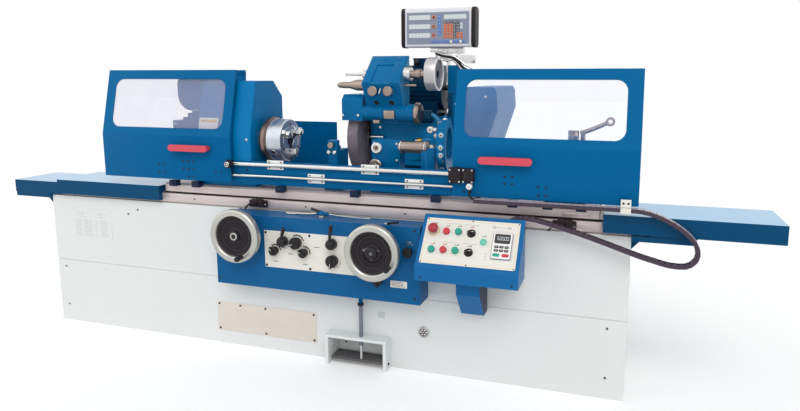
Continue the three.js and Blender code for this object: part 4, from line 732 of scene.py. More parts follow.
# Faces and centre lines that more than one piece uses
TABLE_LEFT, TABLE_RIGHT = -747, 1343
TABLE_MIDDLE = (TABLE_LEFT + TABLE_RIGHT) / 2
BED_FRONT = -210
APRON_FRONT = -320
CONTROL_FRONT = APRON_FRONT - 2
STRIP_FRONT = -221.5
STRIP_LEFT, STRIP_RIGHT = -1050, 1467
WORK_Y, WORK_Z = -80, 1000
WORK_AXIS = (0, WORK_Y, WORK_Z)
WHEEL_AXIS = (0, 205, 1000)
HINGE_AXIS = (0, 25, 1130)
MOTOR_AXIS = (0, 405, 1240)

# Bed, rear base and trays
paint_node("bed", way_paint)
paint_node("table_cylinder", bright_steel)
paint_node("table_piston_rod", turned_steel)


def rear_base_finish(c, n):
    """Blue on the splash sheet, ground steel on the ways, white below."""
    return 1 if c.z > 715 else 2 if c.z > WAYS_HEIGHT else 0


# The upward faces of the trays and covers take the pale blue of the painted reflection.
def painted_reflection_on_top(c, n):
    return 1 if n.z > 0.7 else 0


finished_copy(
    "rear_base", (bed_white, deep_blue, table_steel), 3.0, "white_paint", rear_base_finish,
    recess=lambda c, n: n.y > 0.9 and c.y > 1060,
)
for part, edge in (("way_tray", 1.5), ("way_cover", 1.2)):
    for side in ("left_", "right_"):
        finished_copy(side + part, (cover_blue, cover_painted_reflection), edge, "blue_paint", painted_reflection_on_top)

nameplate = Piece("bed_nameplate", BASE, brushed_plate, black_plastic, dark_iron, slot="ground_steel")
nameplate.add(plate(rounded_outline(-460, 78, 65, 212, 4), None, 2.0), 0, facing(0, BED_FRONT, 0))
nameplate_screws = grid((-448, -191, 66), BED_FRONT - 2, (76, 201)) + [(-330, BED_FRONT - 2, 201)]
add_screws(nameplate, nameplate_screws, 5.0, 2.5, 2)
nameplate.done()

data_plate = Piece("bed_data_plate", BASE, bed_white, label_grey, slot="white_paint")
data_plate.add(plate(rounded_outline(-1327, -1075, 467, 624, 3), None, 1.2), 0, facing(0, BED_FRONT, 0))


def print_on_data_plate(x0, x1, z0, z1):
    data_plate.add(block(x0, x1, BED_FRONT - 1.6, BED_FRONT - 1.1, z0, z1, 0), 1)


for row in range(9):
    z = 480 + row * 10
    for start, end in ((-1310, -1262), (-1254, -1190), (-1180, -1160), (-1148, -1094)):
        print_on_data_plate(start, end - (row * 7) % 16, z, z + 3.2)
for x in (-1262, -1140):
    for z in (578, 596):
        print_on_data_plate(x - 34, x + 34, z, z + 2)
    print_on_data_plate(x - 2, x + 2, 578, 606)
add_screws(data_plate, grid((-1319, -1083), BED_FRONT - 1.2, (475, 616)), 3.0, 1.5)
data_plate.done()

sight = Piece("bed_sight_glass", BASE, rim_steel, sight_glass, trim_white, slot="chrome")
sight_centre = (604, 0, 187)
sight.add(ring("y", 24.5, 18, sight_centre, -218, -209.5, 2.0))
sight.add(rod("y", 18.5, sight_centre, -215, -209.5, 0.5), 1)
for place in circle_places("y", sight_centre, 11.5, 6):
    sight.add(rod("y", 3.6, place, -216, -214, 0.3, 12), 2)
sight.add(rod("y", 3.0, sight_centre, -216, -214, 0.4, 16), 2)
sight.done()

label = Piece("bed_square_label", BASE, label_grey, slot="white_paint")
label.add(plate(rounded_outline(388, 420, 228, 256, 2), None, 1.0), 0, facing(0, BED_FRONT, 0))
label.done()

bolts = Piece("bed_front_screws", BASE, mark_grey, black_plastic, slot="dark_iron")
bolt_places = ((-964, 612), (-904, 637), (1375, 640), (1375, 300), (1375, 90), (-1400, 90), (-1400, 300))
add_screws(bolts, [(x, BED_FRONT, z) for x, z in bolt_places], 5.0, 2.0)
bolts.done()

feet = Piece("bed_levelling_feet", BASE, dark_iron, slot="dark_iron")
for x in (-1390, -830, -300, 640, 1390):
    for y in (-206, 150):
        feet.add(block(x - 35, x + 35, y, y + 56, 0, 9, 2.0))
feet.done()

# Covers on the back and the ends, with their screws and louvres
back_covers = Piece(
    "back_covers", BASE, bed_white, black_plastic, mark_grey, bright_steel, slot="white_paint"
)
LOUVRE_PITCH = 26
COVER_SCREW_INSET = 14
FACING_BACK = Matrix(((-1, 0, 0, 0), (0, 0, 1, 0), (0, 1, 0, 0), (0, 0, 0, 1)))
FACING_RIGHT = Matrix(((0, 0, 1, 0), (1, 0, 0, 0), (0, 1, 0, 0), (0, 0, 0, 1)))
FACING_LEFT = Matrix(((0, 0, -1, 0), (-1, 0, 0, 0), (0, 1, 0, 0), (0, 0, 0, 1)))


def add_cover(width, height, stand, louvres=0):
    """A screwed sheet cover around its lower left corner, facing +z before it is stood up."""
    back_covers.add(plate(rounded_outline(0, width, 0, height, 8), None, 2.0, 0.6), 0, stand)
    for across in (COVER_SCREW_INSET, width / 2, width - COVER_SCREW_INSET):
        for up in (COVER_SCREW_INSET, height - COVER_SCREW_INSET):
            add_screw(back_covers, stand @ at(across, up, 1.6), 5.5, 1.6, 3, 1)
    for k in range(louvres):
        rise = height * 0.3 + k * LOUVRE_PITCH
        for start in (width * 0.2, width * 0.55):
            end = start + width * 0.25
            back_covers.add(block(start, end, rise, rise + 5, 1.2, 2.4, 0.4), 1, stand)
            back_covers.add(block(start, end, rise + 5, rise + 9, 1.2, 3.2, 0.8), 0, stand)


add_cover(500, 540, at(590, 1066, 70) @ FACING_BACK, 9)
add_cover(500, 540, at(10, 1066, 70) @ FACING_BACK)
add_cover(640, 520, at(1400, 210, 80) @ FACING_BACK)
add_cover(640, 520, at(-670, 210, 80) @ FACING_BACK, 8)
add_cover(600, 480, at(650, 320, 90) @ FACING_RIGHT, 7)
add_cover(600, 480, at(-550, 920, 90) @ FACING_LEFT)
add_cover(300, 440, at(1450, -150, 110) @ FACING_RIGHT)
add_cover(300, 440, at(-1450, 150, 110) @ FACING_LEFT)
for z in (470, 520):
    drain = [(664, 1000, z), (690, 1004, z - 6), (704, 1010, z - 60), (706, 1014, 60), (706, 1014, 14)]
    back_covers.add(rod("x", 16, (0, 1000, z), 649, 668, 3.0, 6), 1)
    back_covers.add(tube(smooth_line(drain), 8, 14), 1)
back_covers.add(ring("y", 44, 36, (-60, 0, 560), 1064, 1069, 1.5), 3)
back_covers.add(rod("y", 36.4, (-60, 0, 560), 1064, 1067, 1.0), 2)
back_covers.done()

# Lower table with its rebate under the swivel table, and the two trip dogs
lower_table = Piece(
    "lower_table_slide", TABLE, table_steel, black_satin, slot="ground_steel", stands_for=("lower_table",)
)
rebated = [(-210, 692.3), (35, 692.3), (35, 742), (-198, 742), (-198, 733), (-210, 733)]
lower_table.add(prism("x", rebated, TABLE_LEFT, TABLE_RIGHT, 0.8))
for x in (-560, 40, 520, 1120):
    lower_table.add(rod("y", 4, (x, 0, 712), -211, -209, 0.4, 16), 1)
lower_table.add(rod("z", 29.7, (TABLE_MIDDLE, -87.5, 0), 741, 769, 2))
lower_table.add(block(1053, 1093, -109, -65, 621, 693, 2))
lower_table.done()


def make_trip_dog(name, x):
    """A clamped block with two knurled screws, ribs and a bent finger."""
    dog = detailed(name, dark_iron, bright_steel, black_plastic, slot="dark_iron")
    dog.add(block(x - 47, x + 47, -226, -210.8, 699, 732, 5.0))
    dog.add(rod("y", 17, (x - 16, 0, 722), -237, -224, 3.0))
    dog.add(rod("y", 14, (x + 20, 0, 714), -238, -224, 3.0))
    dog.add(block(x - 8, x + 34, -234, -224, 722, 740, 4.0))
    dog.add(rod("y", 9, (x - 16, 0, 722), -240.5, -236, 1.5, 6), 2)
    dog.add(rod("y", 5, (x + 38, 0, 712), -229, -225, 1.0), 1)
    for k in range(5):
        rib = x + 12 + k * 5
        dog.add(block(rib, rib + 2, -240.5, -236, 704, 724, 0.6), 2)
    dog.add(tube([(x - 34, -234, 716), (x - 48, -236, 706), (x - 62, -236, 690)], 4.0), 2)
    dog.done()


make_trip_dog("left_trip_dog", -200)
make_trip_dog("right_trip_dog", 1195)

finished_copy("swivel_table", (table_steel,), 1.2, "ground_steel")
# A black strip at the back of the rebate under the swivel table: painted shade in the gap and slot.
table_seam_painted_shade = Piece("table_seam_painted_shade", TABLE, black_satin, slot="dark_iron")
table_seam_painted_shade.add(block(TABLE_LEFT + 3, TABLE_RIGHT - 3, -199.4, -197, 733.4, 741.6, 0.4))
table_seam_painted_shade.done()
scale_plate = Piece("swivel_scale", SWIVEL, table_steel, mark_grey, slot="ground_steel")
scale_plate.add(block(1180, 1300, -204.2, -202.3, 748, 768, 0.6))
for k in range(21):
    mark = 1190 + k * 5
    scale_plate.add(block(mark - 0.4, mark + 0.4, -204.6, -204.1, 750, 757 if k % 5 else 763, 0), 1)
add_screws(scale_plate, grid((1186, 1294), -204.2, (758,)), 3.0, 2.0)
scale_plate.done()

# Guard strip with its rails, clips and clamps
RAIL_Y, UPPER_RAIL, LOWER_RAIL = -233.5, 900, 847
strip = Piece(
    "guard_strip_sheet", SWIVEL, deep_blue, black_plastic, slot="blue_paint", stands_for=("guard_strip",)
)
strip.add(block(STRIP_LEFT, STRIP_RIGHT, STRIP_FRONT, STRIP_FRONT + 4, 806, 912, 1.0))
strip.add(block(STRIP_LEFT, STRIP_RIGHT, -217.6, -205, 908, 912, 1.0))
for x in (-1040, 1453):
    strip.add(block(x - 7, x + 14, -236, -221, 843, 908, 2.0))
strip.done()

rails = Piece("door_rails", SWIVEL, bright_steel, slot="chrome")
for radius, height in ((9.2, UPPER_RAIL), (6.0, LOWER_RAIL)):
    rails.add(rod("x", radius, (0, RAIL_Y, height), STRIP_LEFT, STRIP_RIGHT, 1.0))
rails.done()

clips = Piece("rail_clips", SWIVEL, trim_white, black_plastic, slot="white_paint")
for shift, z in ((-398, UPPER_RAIL), (67, UPPER_RAIL), (-193, LOWER_RAIL), (268, LOWER_RAIL)):
    x = TABLE_MIDDLE + shift
    for low in (z + 6, z - 21):
        clips.add(block(x - 41.5, x + 41.5, -226.5, -221.2, low, low + 15, 1.5))
        add_screws(clips, grid((x - 30, x + 30), -226.5, (low + 7.5,)), 3.4, 2.0, 1)
    clips.add(block(x - 20, x + 20, -233, -221.4, z - 3, z + 3, 0.5))
clips.done()

clamps = Piece("strip_clamps", SWIVEL, navy_and_painted_shade, black_plastic, slot="dark_iron")
for shift in (-958, -830, -376, -6, 364, 690, 830, 960):
    x = TABLE_MIDDLE + shift
    clamps.add(block(x - 20, x + 20, -237, -203, 775, 804, 2.0))
    clamps.add(rod("y", 7, (x, 0, 789), -240, -236, 1.0, 20), 1)
clamps.done()

chain_bracket = Piece("chain_bracket", SWIVEL, plate_cream, black_plastic, slot="ground_steel")
chain_bracket.add(block(1405, 1443, -275.5, -272.3, 786, 841, 1.0))
chain_bracket.add(block(1405, 1443, -275.5, -217.5, 808.3, 811.3, 0.6))
for x in (1415, 1433):
    chain_bracket.add(rod("y", 4.5, (x, 0, 826), -276.4, -275.2, 0.3, 16), 1)
chain_bracket.done()

# Splash doors
DOOR_FRONT, DOOR_BOTTOM, DOOR_FOLD = -247.5, 812.0, 1021.0
DOOR_RISE, DOOR_LEAN, DOOR_LENGTH = 307.0, 75.0, 730.0
DOOR_SLANT = math.hypot(DOOR_RISE, DOOR_LEAN)
DOOR_SHEET = 3
WINDOW_WIDTH = 635
HANDLE_LENGTH = 216
ON_SLOPE = at(0, DOOR_FRONT + DOOR_SHEET, DOOR_FOLD) @ Matrix.Rotation(
    QUARTER_TURN - math.atan2(DOOR_LEAN, DOOR_RISE), 4, "X"
)


def make_door(side, x0, window_left, handle_left, carriages, screw_groups):
    """A folded sheet with a window in its leaning part, two end sheets, a handle and its screws."""
    body = side + "_door"
    x1 = x0 + DOOR_LENGTH
    door = Piece(
        body + "_sheet", body, deep_blue, black_plastic, slope_painted_light, slot="blue_paint", stands_for=(body,)
    )
    door.add(block(x0, x1, DOOR_FRONT, DOOR_FRONT + DOOR_SHEET, DOOR_BOTTOM, DOOR_FOLD + 1, 0.8))
    outline = [(x0, 0), (x1, 0), (x1, DOOR_SLANT), (x0, DOOR_SLANT)]
    window = rounded_outline(window_left, window_left + WINDOW_WIDTH, 34, 274, 45, 10)
    # The leaning part and its top rim take the lighter copy of the blue as painted light.
    door.add(plate(outline, window, DOOR_SHEET, 0.5), 2, ON_SLOPE)
    door.add(block(x0, x1, 0, DOOR_SHEET, -20, 1.5, 0.6), 2, ON_SLOPE @ at(0, DOOR_SLANT - DOOR_SHEET, 0))
    end_sheet = [(-245.5, 915), (-223.5, 915), (-223.5, 1018), (-167.5, 1300), (-171.5, 1324), (-245.5, 1021)]
    for x in (x0, x1 - DOOR_SHEET):
        door.add(prism("x", end_sheet, x, x + DOOR_SHEET, 0.5))
    add_screws(door, [(x + right, DOOR_FRONT, z) for x, z in screw_groups for right in (0, 30)], 4.2, 2.2, 1)
    for inset in carriages:
        door.add(block(x0 + inset, x0 + inset + 40, -244.5, -242, 885, 915, 1.0), 1)
    door.done()
    trim = Piece(body + "_window_edge", body, sky_blue, slot="blue_paint")
    inner = rounded_outline(window_left + 2.5, window_left + WINDOW_WIDTH - 2.5, 36.5, 271.5, 43, 10)
    trim.add(plate(window, inner, 2.4, 0.4), 0, ON_SLOPE @ at(0, 0, 0.4))
    trim.done()
    grip = Piece(body + "_handle", body, red_plastic, slot="red_plastic")
    z = DOOR_FOLD - 54
    pill = rounded_outline(handle_left, handle_left + HANDLE_LENGTH, z - 15, z + 15, 14.9, 8)
    grip.add(plate(pill, None, 20.0, 0), 0, facing(0, -261.5, 0))
    bevel(grip.mesh, [e for e in grip.mesh.edges if abs(e.calc_face_angle(0)) > 1.2], 9.6, 7)
    for x in (handle_left + 14, handle_left + HANDLE_LENGTH - 14):
        grip.add(rod("y", 11, (x, 0, z), -264, -247.4, 1.0))
    grip.done(50)


left_screws = (
    (-722, 881), (-722, 842), (-582, 902), (-582, 866), (-555, 902), (-555, 866), (-555, 828), (-402, 860),
)
right_screws = ((957, 902), (957, 873), (1092, 867), (1092, 833), (790, 832))
make_door("left", -1050, -1000, -638, (20, 340), left_screws)
make_door("right", 740, 780, 853, (410, 670), right_screws)
paint_node("left_window", film_and_painted_reflection_pane)
paint_node("right_window", clear_pane)

head_back = Piece("workhead_back_covers", SWIVEL, deep_blue, black_plastic, bright_steel, slot="blue_paint")
head_back.add(block(-530, -250, 73.5, 77, 830, 1040, 1.2))
head_back.add(block(-688, -566, 72.5, 76, 900, 1060, 1.2))
for place in grid((-516, -264), 0, (844, 1026)) + grid((-676, -578), 0, (912, 1048)):
    head_back.add(rod("y", 5.5, place, 75, 79.5, 1.2, 20), 2)
for k in range(6):
    head_back.add(block(-664, -590, 75.5, 78, 936 + k * 15, 941 + k * 15, 0.8), 1)
head_back.done()

bumper = Piece("left_door_bumper", "left_door", black_plastic, bright_steel, slot="black_plastic")
bumper.add(rod("x", 19, (0, -252, UPPER_RAIL), -336, -316, 3.0))
bumper.add(rod("y", 16, (-322, 0, UPPER_RAIL), -276, -262, 2.0))
bumper.add(ring("y", 12, 8.5, (-322, 0, UPPER_RAIL), -278, -274, 0.8), 1)
bumper.add(rod("y", 4.5, (-322, 0, UPPER_RAIL), -278, -274, 0.8), 1)
bumper.add(rod("x", 8, (0, -249, UPPER_RAIL), -316, -308.2, 1.0))
bumper.done()

switch = Piece(
    "right_door_switch", "right_door", black_satin, bright_steel, black_plastic, trim_white,
    slot="black_plastic",
)
switch.add(block(730, 783, -277.5, -247, 868, 932, 3.0))
switch.add(block(785, 835, -273, -247, 872, 930, 3.0))
switch.add(block(781, 787, -270, -247, 876, 926, 1.0), 2)
add_screws(switch, grid((737, 776), -277.5, (876, 924)) + grid((792, 828), -273, (876, 924)), 3.6, 2.0, 1, 2)
for z in (888, 898, 908):
    switch.add(block(748, 767, -279, -277, z, z + 4, 0.6), 2)
switch.add(block(796, 812, -274.5, -272.5, 886, 916, 1.0), 2)
switch.add(rod("y", 12, (817, 0, 858), -278, -258, 2.0), 3)
switch.add(rod("y", 6.5, (817, 0, 858), -280, -277, 1.0), 1)
switch.done()

lead = Piece("right_door_switch_lead", "right_door", black_plastic, slot="black_plastic")
lead_route = [
    (817, -262, 850), (816, -262, 836), (815, -261, 822), (820, -260, 812),
    (832, -258, 806), (846, -252, 808), (856, -243, 814),
]
lead.add(tube(smooth_line(lead_route), 4.2, 14))
lead.done()

# Workhead with its motor cover
finished_copy("workhead_body", (workhead_blue,), 5.0, "blue_paint")
finished_copy("workhead_motor_cover", (deep_blue,), 5.0, "blue_paint")
workhead_trim = Piece(
    "workhead_fittings", SWIVEL, bright_steel, black_plastic, trim_white, deep_blue, brass,
    slot="ground_steel",
)
workhead_trim.add(ring("x", 74, 50, WORK_AXIS, -230.5, -224, 2.0))
for place in circle_places("x", WORK_AXIS, 64, 6, FULL_TURN / 12):
    workhead_trim.add(rod("x", 5, place, -225, -221, 0.8, 16), 1)
workhead_trim.add(turned("z", (-375, -71, 0), [(33.5, 1300), (33.5, 1322), (26, 1328)]), 3)
add_screws(workhead_trim, grid((-690, -540), -152.5, (880, 1068)), 6.0, 3.0)
for x in (-575, -560, -545):
    workhead_trim.add(rod("y", 4, (x, 0, 1137), -157, -152, 1.0, 14))
on_lean = at(-458, -217.5, 1040) @ turn_about("X", 90 - 14.1)
workhead_trim.add(plate(rounded_outline(-52, 52, 6, 68, 3), None, 2.0), 2, on_lean)
workhead_trim.add(plate(rounded_outline(-44, 44, 46, 58, 1), None, 0.4, 0), 4, on_lean @ at(0, 0, 2.0))
add_screws(workhead_trim, grid((-500, -250), -217.5, (1010, 870)), 6.5, 4.0)
workhead_trim.add(rod("y", 12, (-470, 0, 930), -232, -217, 2.0), 1)
workhead_trim.done()


# Three-jaw chuck
def round_axis(degrees):
    """A turn about the work axis."""
    return at(*WORK_AXIS) @ turn_about("X", degrees) @ at(0, -WORK_Y, -WORK_Z)


chuck = detailed("chuck", chuck_steel, black_satin, bright_steel, back_plate, slot="chrome")
chuck_back = [
    (44, -350), (44, -232), (60, -228), (60, -201), (104, -201), (108, -198), (108, -181), (104, -179),
    (98, -178),
]
chuck_face = [
    (96, -179), (98, -176), (100, -173), (100, -168), (98.6, -167), (98.6, -162), (100, -161), (100, -106),
    (96, -101), (70, -100.4), (69, -101.6), (66, -101.6), (65, -100.4), (30, -100.4), (27, -103),
]
chuck.add(turned("x", WORK_AXIS, chuck_back, 72), 3)
chuck.add(turned("x", WORK_AXIS, chuck_face, 72))
chuck.add(rod("x", 26, WORK_AXIS, -104, -101.5, 0.5), 1)
for k in range(3):
    slot_turn, key_turn = round_axis(30 + 120 * k), round_axis(90 + 120 * k)
    chuck.add(block(-101.2, -99.9, WORK_Y + 2, WORK_Y + 94, WORK_Z - 10.8, WORK_Z + 10.8, 0.3), 1, slot_turn)
    chuck.add(rod("y", 9, (-142, 0, WORK_Z), 17, 20.6, 0.8, 24), 1, key_turn)
    chuck.add(ring("y", 11.5, 9, (-142, 0, WORK_Z), 18, 20.8, 0.8, 24), 2, key_turn)
    chuck.add(rod("x", 6, (0, WORK_Y + 74, WORK_Z), -102, -99.6, 0.6, 20), 1, key_turn)
chuck.done()

jaw_outline = [(-122, -40), (-122, 12), (-82, 12), (-82, -2), (-68, -2), (-68, -40)]
for number in (1, 2, 3):
    jaw = detailed("chuck_jaw_%d" % number, bright_steel, black_satin, slot="ground_steel")
    turn = round_axis(120 * number - 90)
    jaw.add(prism("z", jaw_outline, WORK_Z - 10, WORK_Z + 10, 1.2), 0, turn)
    jaw.add(block(-99, -86, -39.9, -26, WORK_Z - 12.4, WORK_Z + 12.4, 1.0), 0, turn)
    for y, front in ((-29, -67.6), (-13, -81.6)):
        jaw.add(rod("x", 4.5, (0, y, WORK_Z), front - 2.4, front, 0.4, 16), 1, turn)
    jaw.done()

# Tailstock with its quill and lever
finished_copy(
    "tailstock_body", (deep_blue, bronze_steel), 6.0, "blue_paint", lambda c, n: int(c.z > 1036), 16
)
quill = detailed("tailstock_quill", turned_steel, bronze_steel, slot="ground_steel")
quill_profile = [(2, -122), (12, -92), (12, -80), (23.5, -80), (25, -78), (25, 108), (23, 110)]
quill.add(turned("x", (1110, WORK_Y, WORK_Z), quill_profile))
quill.add(ring("x", 33, 25.4, (1110, WORK_Y, WORK_Z), -6, -0.3, 1.5), 1)
quill.done()
tail_cap = Piece("tailstock_fittings", SWIVEL, bronze_steel, black_plastic, turned_steel, slot="dark_iron")
stud = [(12.3, 1035), (12.3, 1058), (10.8, 1060), (10.8, 1073), (9.2, 1079)]
for x in (1198, 1219):
    tail_cap.add(turned("z", (x, WORK_Y, 0), stud, 28), 2)
tail_cap.add(ring("x", 34, 26.5, WORK_AXIS, 1103, 1110.5, 2.0))
add_screws(tail_cap, grid((1128, 1252), -192.5, (812,)), 8.0, 5.0)
tail_cap.done()
lever = detailed("tailstock_lever", bronze_steel, slot="dark_iron")
lever.add(turned("z", (1246, WORK_Y, 0), [(10, 1035.5), (10, 1064), (12, 1066), (12, 1079), (9, 1082)], 28))
lever.add(tube(smooth_line([(1250, WORK_Y, 1074), (1290, WORK_Y, 1090), (1338, WORK_Y, 1113)]), 9.5, 18))
lever.add(ring("y", 18.5, 8.5, ORIGIN, -10, 10, 3.0), 0, at(1351, WORK_Y, 1119) @ turn_about("Y", -6))
lever.done()


# Steadies and wheel dresser
# The ring steady's end faces take the paler blue as painted light.
def painted_light_on_ends(c, n):
    return 1 if abs(n.x) > 0.7 else 0


def dresser_finish(c, n):
    """Oiled steel on the spindle's barrel."""
    return 1 if c.x > 462 and c.z > 962 else 0


finished_copy("open_steady", (casting_blue,), 4.0, "blue_paint", longest=16)
finished_copy("ring_steady", (casting_blue, pale_blue_and_painted_light), 3.0, "blue_paint", painted_light_on_ends, 16)
finished_copy("wheel_dresser", (casting_blue, bronze_steel), 4.0, "sky_paint", dresser_finish, 16)
steadies = Piece(
    "steady_fittings", SWIVEL, bright_steel, bronze_steel, black_plastic, pale_blue_and_painted_light, slot="ground_steel"
)
for x in (136, 164):
    steadies.add(rod("y", 9, (x, 0, 960), -162, -140, 2.0, 20))
steadies.add(rod("z", 14, (150, WORK_Y, 0), 905, 930, 2.0), 1)
steadies.add(rod("y", 14, (150, 0, 992), -172, -150, 2.0), 1)
RING_STEADY_X = 660
tall = at(RING_STEADY_X, WORK_Y, WORK_Z) @ Matrix.Diagonal((1, 1, 1.6, 1))
for degrees in (0, 120, 240):
    about = tall @ turn_about("X", degrees)
    steadies.add(rod("z", 10.5, ORIGIN, 62, 74, 2.0, 20), 0, about)
    steadies.add(rod("z", 6.0, ORIGIN, 74, 79.5, 1.0, 16), 1, about)
for y, z in ((-145, 1050), (-152, 997), (-149, 964)):
    centre = (RING_STEADY_X + 2, 0, z)
    steadies.add(rod("y", 10, centre, y - 8, y + 6, 2.0, 24))
    steadies.add(rod("y", 4.5, centre, y - 8.6, y - 4, 0.4, 6), 2)
    steadies.add(ring("y", 15, 10, centre, y - 3, y + 3, 1.0, 24), 3)
steadies.add(rod("x", 9, (0, -138, 1072), 612, 640, 2.0, 24))
steadies.add(rod("y", 15, (614, 0, 1072), -154, -128, 3.0, 28))
steadies.add(rod("y", 7, (614, 0, 1072), -155, -150, 0.8, 6), 1)
steadies.add(rod("y", 11, (645, 0, 1096), -112, -92, 2.0, 20), 1)
steadies.add(rod("y", 10, (RING_STEADY_X, 0, 900), -132, -116, 2.0))
steadies.done()
dresser_trim = Piece(
    "dresser_fittings", SWIVEL, trim_white, black_plastic, bronze_steel, bright_steel, slot="ground_steel"
)
upper, lower = (358, 0, 984), (358, 0, 907)
dresser_trim.add(ring("y", 23, 14, upper, -139, -120, 2.0))
dresser_trim.add(rod("y", 14.4, upper, -135.5, -133, 0.5), 2)
dresser_trim.add(rod("y", 6, upper, -137.5, -134, 1.0, 6), 1)
dresser_trim.add(turned("y", lower, [(25, -154), (29.5, -150), (29.5, -146), (12, -146)], 36), 2)
dresser_trim.add(rod("y", 11, lower, -157, -153, 1.0, 6), 3)
for start in (461, 574):
    dresser_trim.add(ring("x", 29.5, 24, (0, -97.5, 990), start, start + 7, 1.5), 3)
dresser_trim.add(turned("x", (600, -97.5, 990), [(13, 0), (13, 6), (8, 12)], 28))
add_screws(dresser_trim, ((344, -120.5, 1004), (450, -120.5, 1004), (450, -120.5, 930)), 5.5, 4.0, 3)
dresser_trim.done()

# Wheelhead, guard and belt cover
def head_finish(c, n):
    """Oiled steel on the hinge's disc and the pulley, dark paint on the motor, a lighter blue on the front
    faces as painted light.
    """
    if c.z > 1080 and (c.x > 500 and c.y < 60 or c.x > 526 and c.y > 250):
        return 1
    if n.y < -0.7 and 100 < c.y < 130 and 890 < c.z < 1105:
        return 3
    return 2 if c.z > 1102 and c.y > 250 else 0


def guard_finish(c, n):
    """Bright steel on the guard's right front edge."""
    return 1 if c.x > 246 and c.y < 120 else 0


finished_copy(
    "wheelhead_body", (casting_blue, bronze_steel, motor_blue, front_painted_light), 5.0, "blue_paint", head_finish, 18
)
motor = Piece("drive_motor_fittings", HEAD, motor_blue, black_plastic, bright_steel, slot="blue_paint")
FIN_COUNT, FIN_START, FIN_SWEEP = 27, -50, 280
for k in range(FIN_COUNT):
    about = at(*MOTOR_AXIS) @ turn_about("X", FIN_START + FIN_SWEEP * k / (FIN_COUNT - 1))
    motor.add(block(342, 500, 107, 115, -1.6, 1.6, 0.6), 0, about)
for start in (316, 504):
    motor.add(ring("x", 114, 70, MOTOR_AXIS, start, start + 24, 4.0, 56))
for radius in (100, 83, 66, 49, 32):
    motor.add(ring("x", radius, radius - 6, MOTOR_AXIS, 315, 319, 0.8, 48), 1)
motor.add(block(362, 453, 357, 453, 1382, 1390, 2.5))
for x in (370, 445):
    for y in (365, 445):
        motor.add(rod("z", 4, (x, y, 0), 1389, 1392, 0.8, 16), 2)
motor.add(rod("x", 14, (0, 340, 1366), 380, 400, 2.0), 1)
motor.add(ring("x", 15, 8, (0, 405, 1366), 486, 494, 2.0), 2)
for start in (550.5, 597):
    motor.add(ring("x", 58, 44, MOTOR_AXIS, start, start + 5, 1.0, 48), 2)
for x in (352, 493):
    for y in (326, 484):
        motor.add(rod("z", 7, (x, y, 0), 1128, 1136, 1.5, 6), 2)
motor.add(rod("x", 31, (0, 94, 1112), 452, 546, 6.0, 40))
motor.done()
finished_copy("wheel_guard", (casting_blue, bright_steel), 3.0, "blue_paint", guard_finish, 18)
finished_copy("belt_cover", (deep_blue,), 4.0, "blue_paint")
head_trim = Piece(
    "wheelhead_fittings", HEAD, bright_steel, black_plastic, casting_blue, trim_white, bronze_steel,
    front_painted_light, slot="blue_paint",
)
head_trim.add(turned("x", (494, 25, 1130), [(47, -3), (50, 0), (50, 14), (44, 20), (20, 22)], 44), 4)
for place in circle_places("x", HINGE_AXIS, 42, 8):
    head_trim.add(rod("x", 4, place, 506, 511, 0.8, 12), 1)
for y, z in ((-32, 1120), (104, 800)):
    for x in (149, 226):
        head_trim.add(rod("y", 6, (x, 0, z), y, y + 8, 1.0, 16))
# The front cover plate takes the same lighter blue as painted light.
head_trim.add(block(262, 610, 116, 124, 900, 1070, 3.0), 5)
add_screws(head_trim, grid((278, 594), 116, (914, 1056)), 7.0, 4.0)
for x in (286, 440, 590):
    head_trim.add(block(x - 5, x + 5, 200, 640, 1098, 1108, 2.0), 2)
head_trim.add(ring("z", 26, 12, (520, 420, 0), 1098, 1112, 3.0))
head_trim.add(rod("z", 12.4, (520, 420, 0), 1098, 1106, 1.0), 1)
add_screws(head_trim, ((650, 140, 1170), (790, 140, 1205), (765, 140, 960), (650, 140, 920)), 6.0, 3.5)
head_trim.add(block(52, 588, 228, 232, 706, 730, 1.0), 3)
head_trim.done()

head_covers = Piece(
    "wheelhead_covers", HEAD, deep_blue, black_plastic, bright_steel, sight_glass, black_satin,
    slot="blue_paint",
)
head_covers.add(block(84, 556, 789, 793, 728, 858, 1.2))
head_covers.add(block(286, 584, 689, 693, 900, 1078, 1.2))
for x, y, z in grid((98, 320, 542), 793, (742, 844)) + grid((300, 570), 693, (914, 1064)):
    head_covers.add(rod("y", 6.5, (x, 0, z), y - 1, y + 3, 1.2, 20), 2)
    head_covers.add(rod("y", 3, (x, 0, z), y + 2, y + 3.2, 0.2, 6), 1)
for x in (130, 510):
    head_covers.add(block(x - 46, x + 46, 789, 797, 702, 718, 2.0), 4)
for k in range(7):
    head_covers.add(block(330, 540, 692, 695, 940 + k * 16, 945 + k * 16, 0.8), 1)
head_covers.add(ring("x", 21, 15, (0, 640, 800), 45, 51, 1.5), 2)
head_covers.add(rod("x", 15.4, (0, 640, 800), 47, 50.5, 0.6), 3)
head_covers.add(ring("x", 19, 10, (0, 560, 1118), 440, 452, 3.0), 2)
head_covers.add(rod("z", 12, (446, 560, 0), 1098, 1106, 2.0), 2)
head_covers.done()

coolant = Piece("coolant_hose", HEAD, pale_blue_and_painted_light, bright_steel, slot="blue_paint")
hose_route = [
    (300, 100, 1108), (420, 96, 1124), (520, 94, 1126), (566, 90, 1110), (586, 84, 1070), (584, 70, 1030),
    (590, 62, 990),
]
hose = smooth_line(hose_route, 10)
coolant.add(tube(hose, 9, 14))
for index in range(4, len(hose) - 2, 3):
    coolant.add(tube([hose[index], hose[index] + (hose[index + 1] - hose[index]).normalized() * 4], 11, 14))
coolant.add(rod("x", 13, (0, 100, 1108), 292, 306, 2.0), 1)
coolant.done()

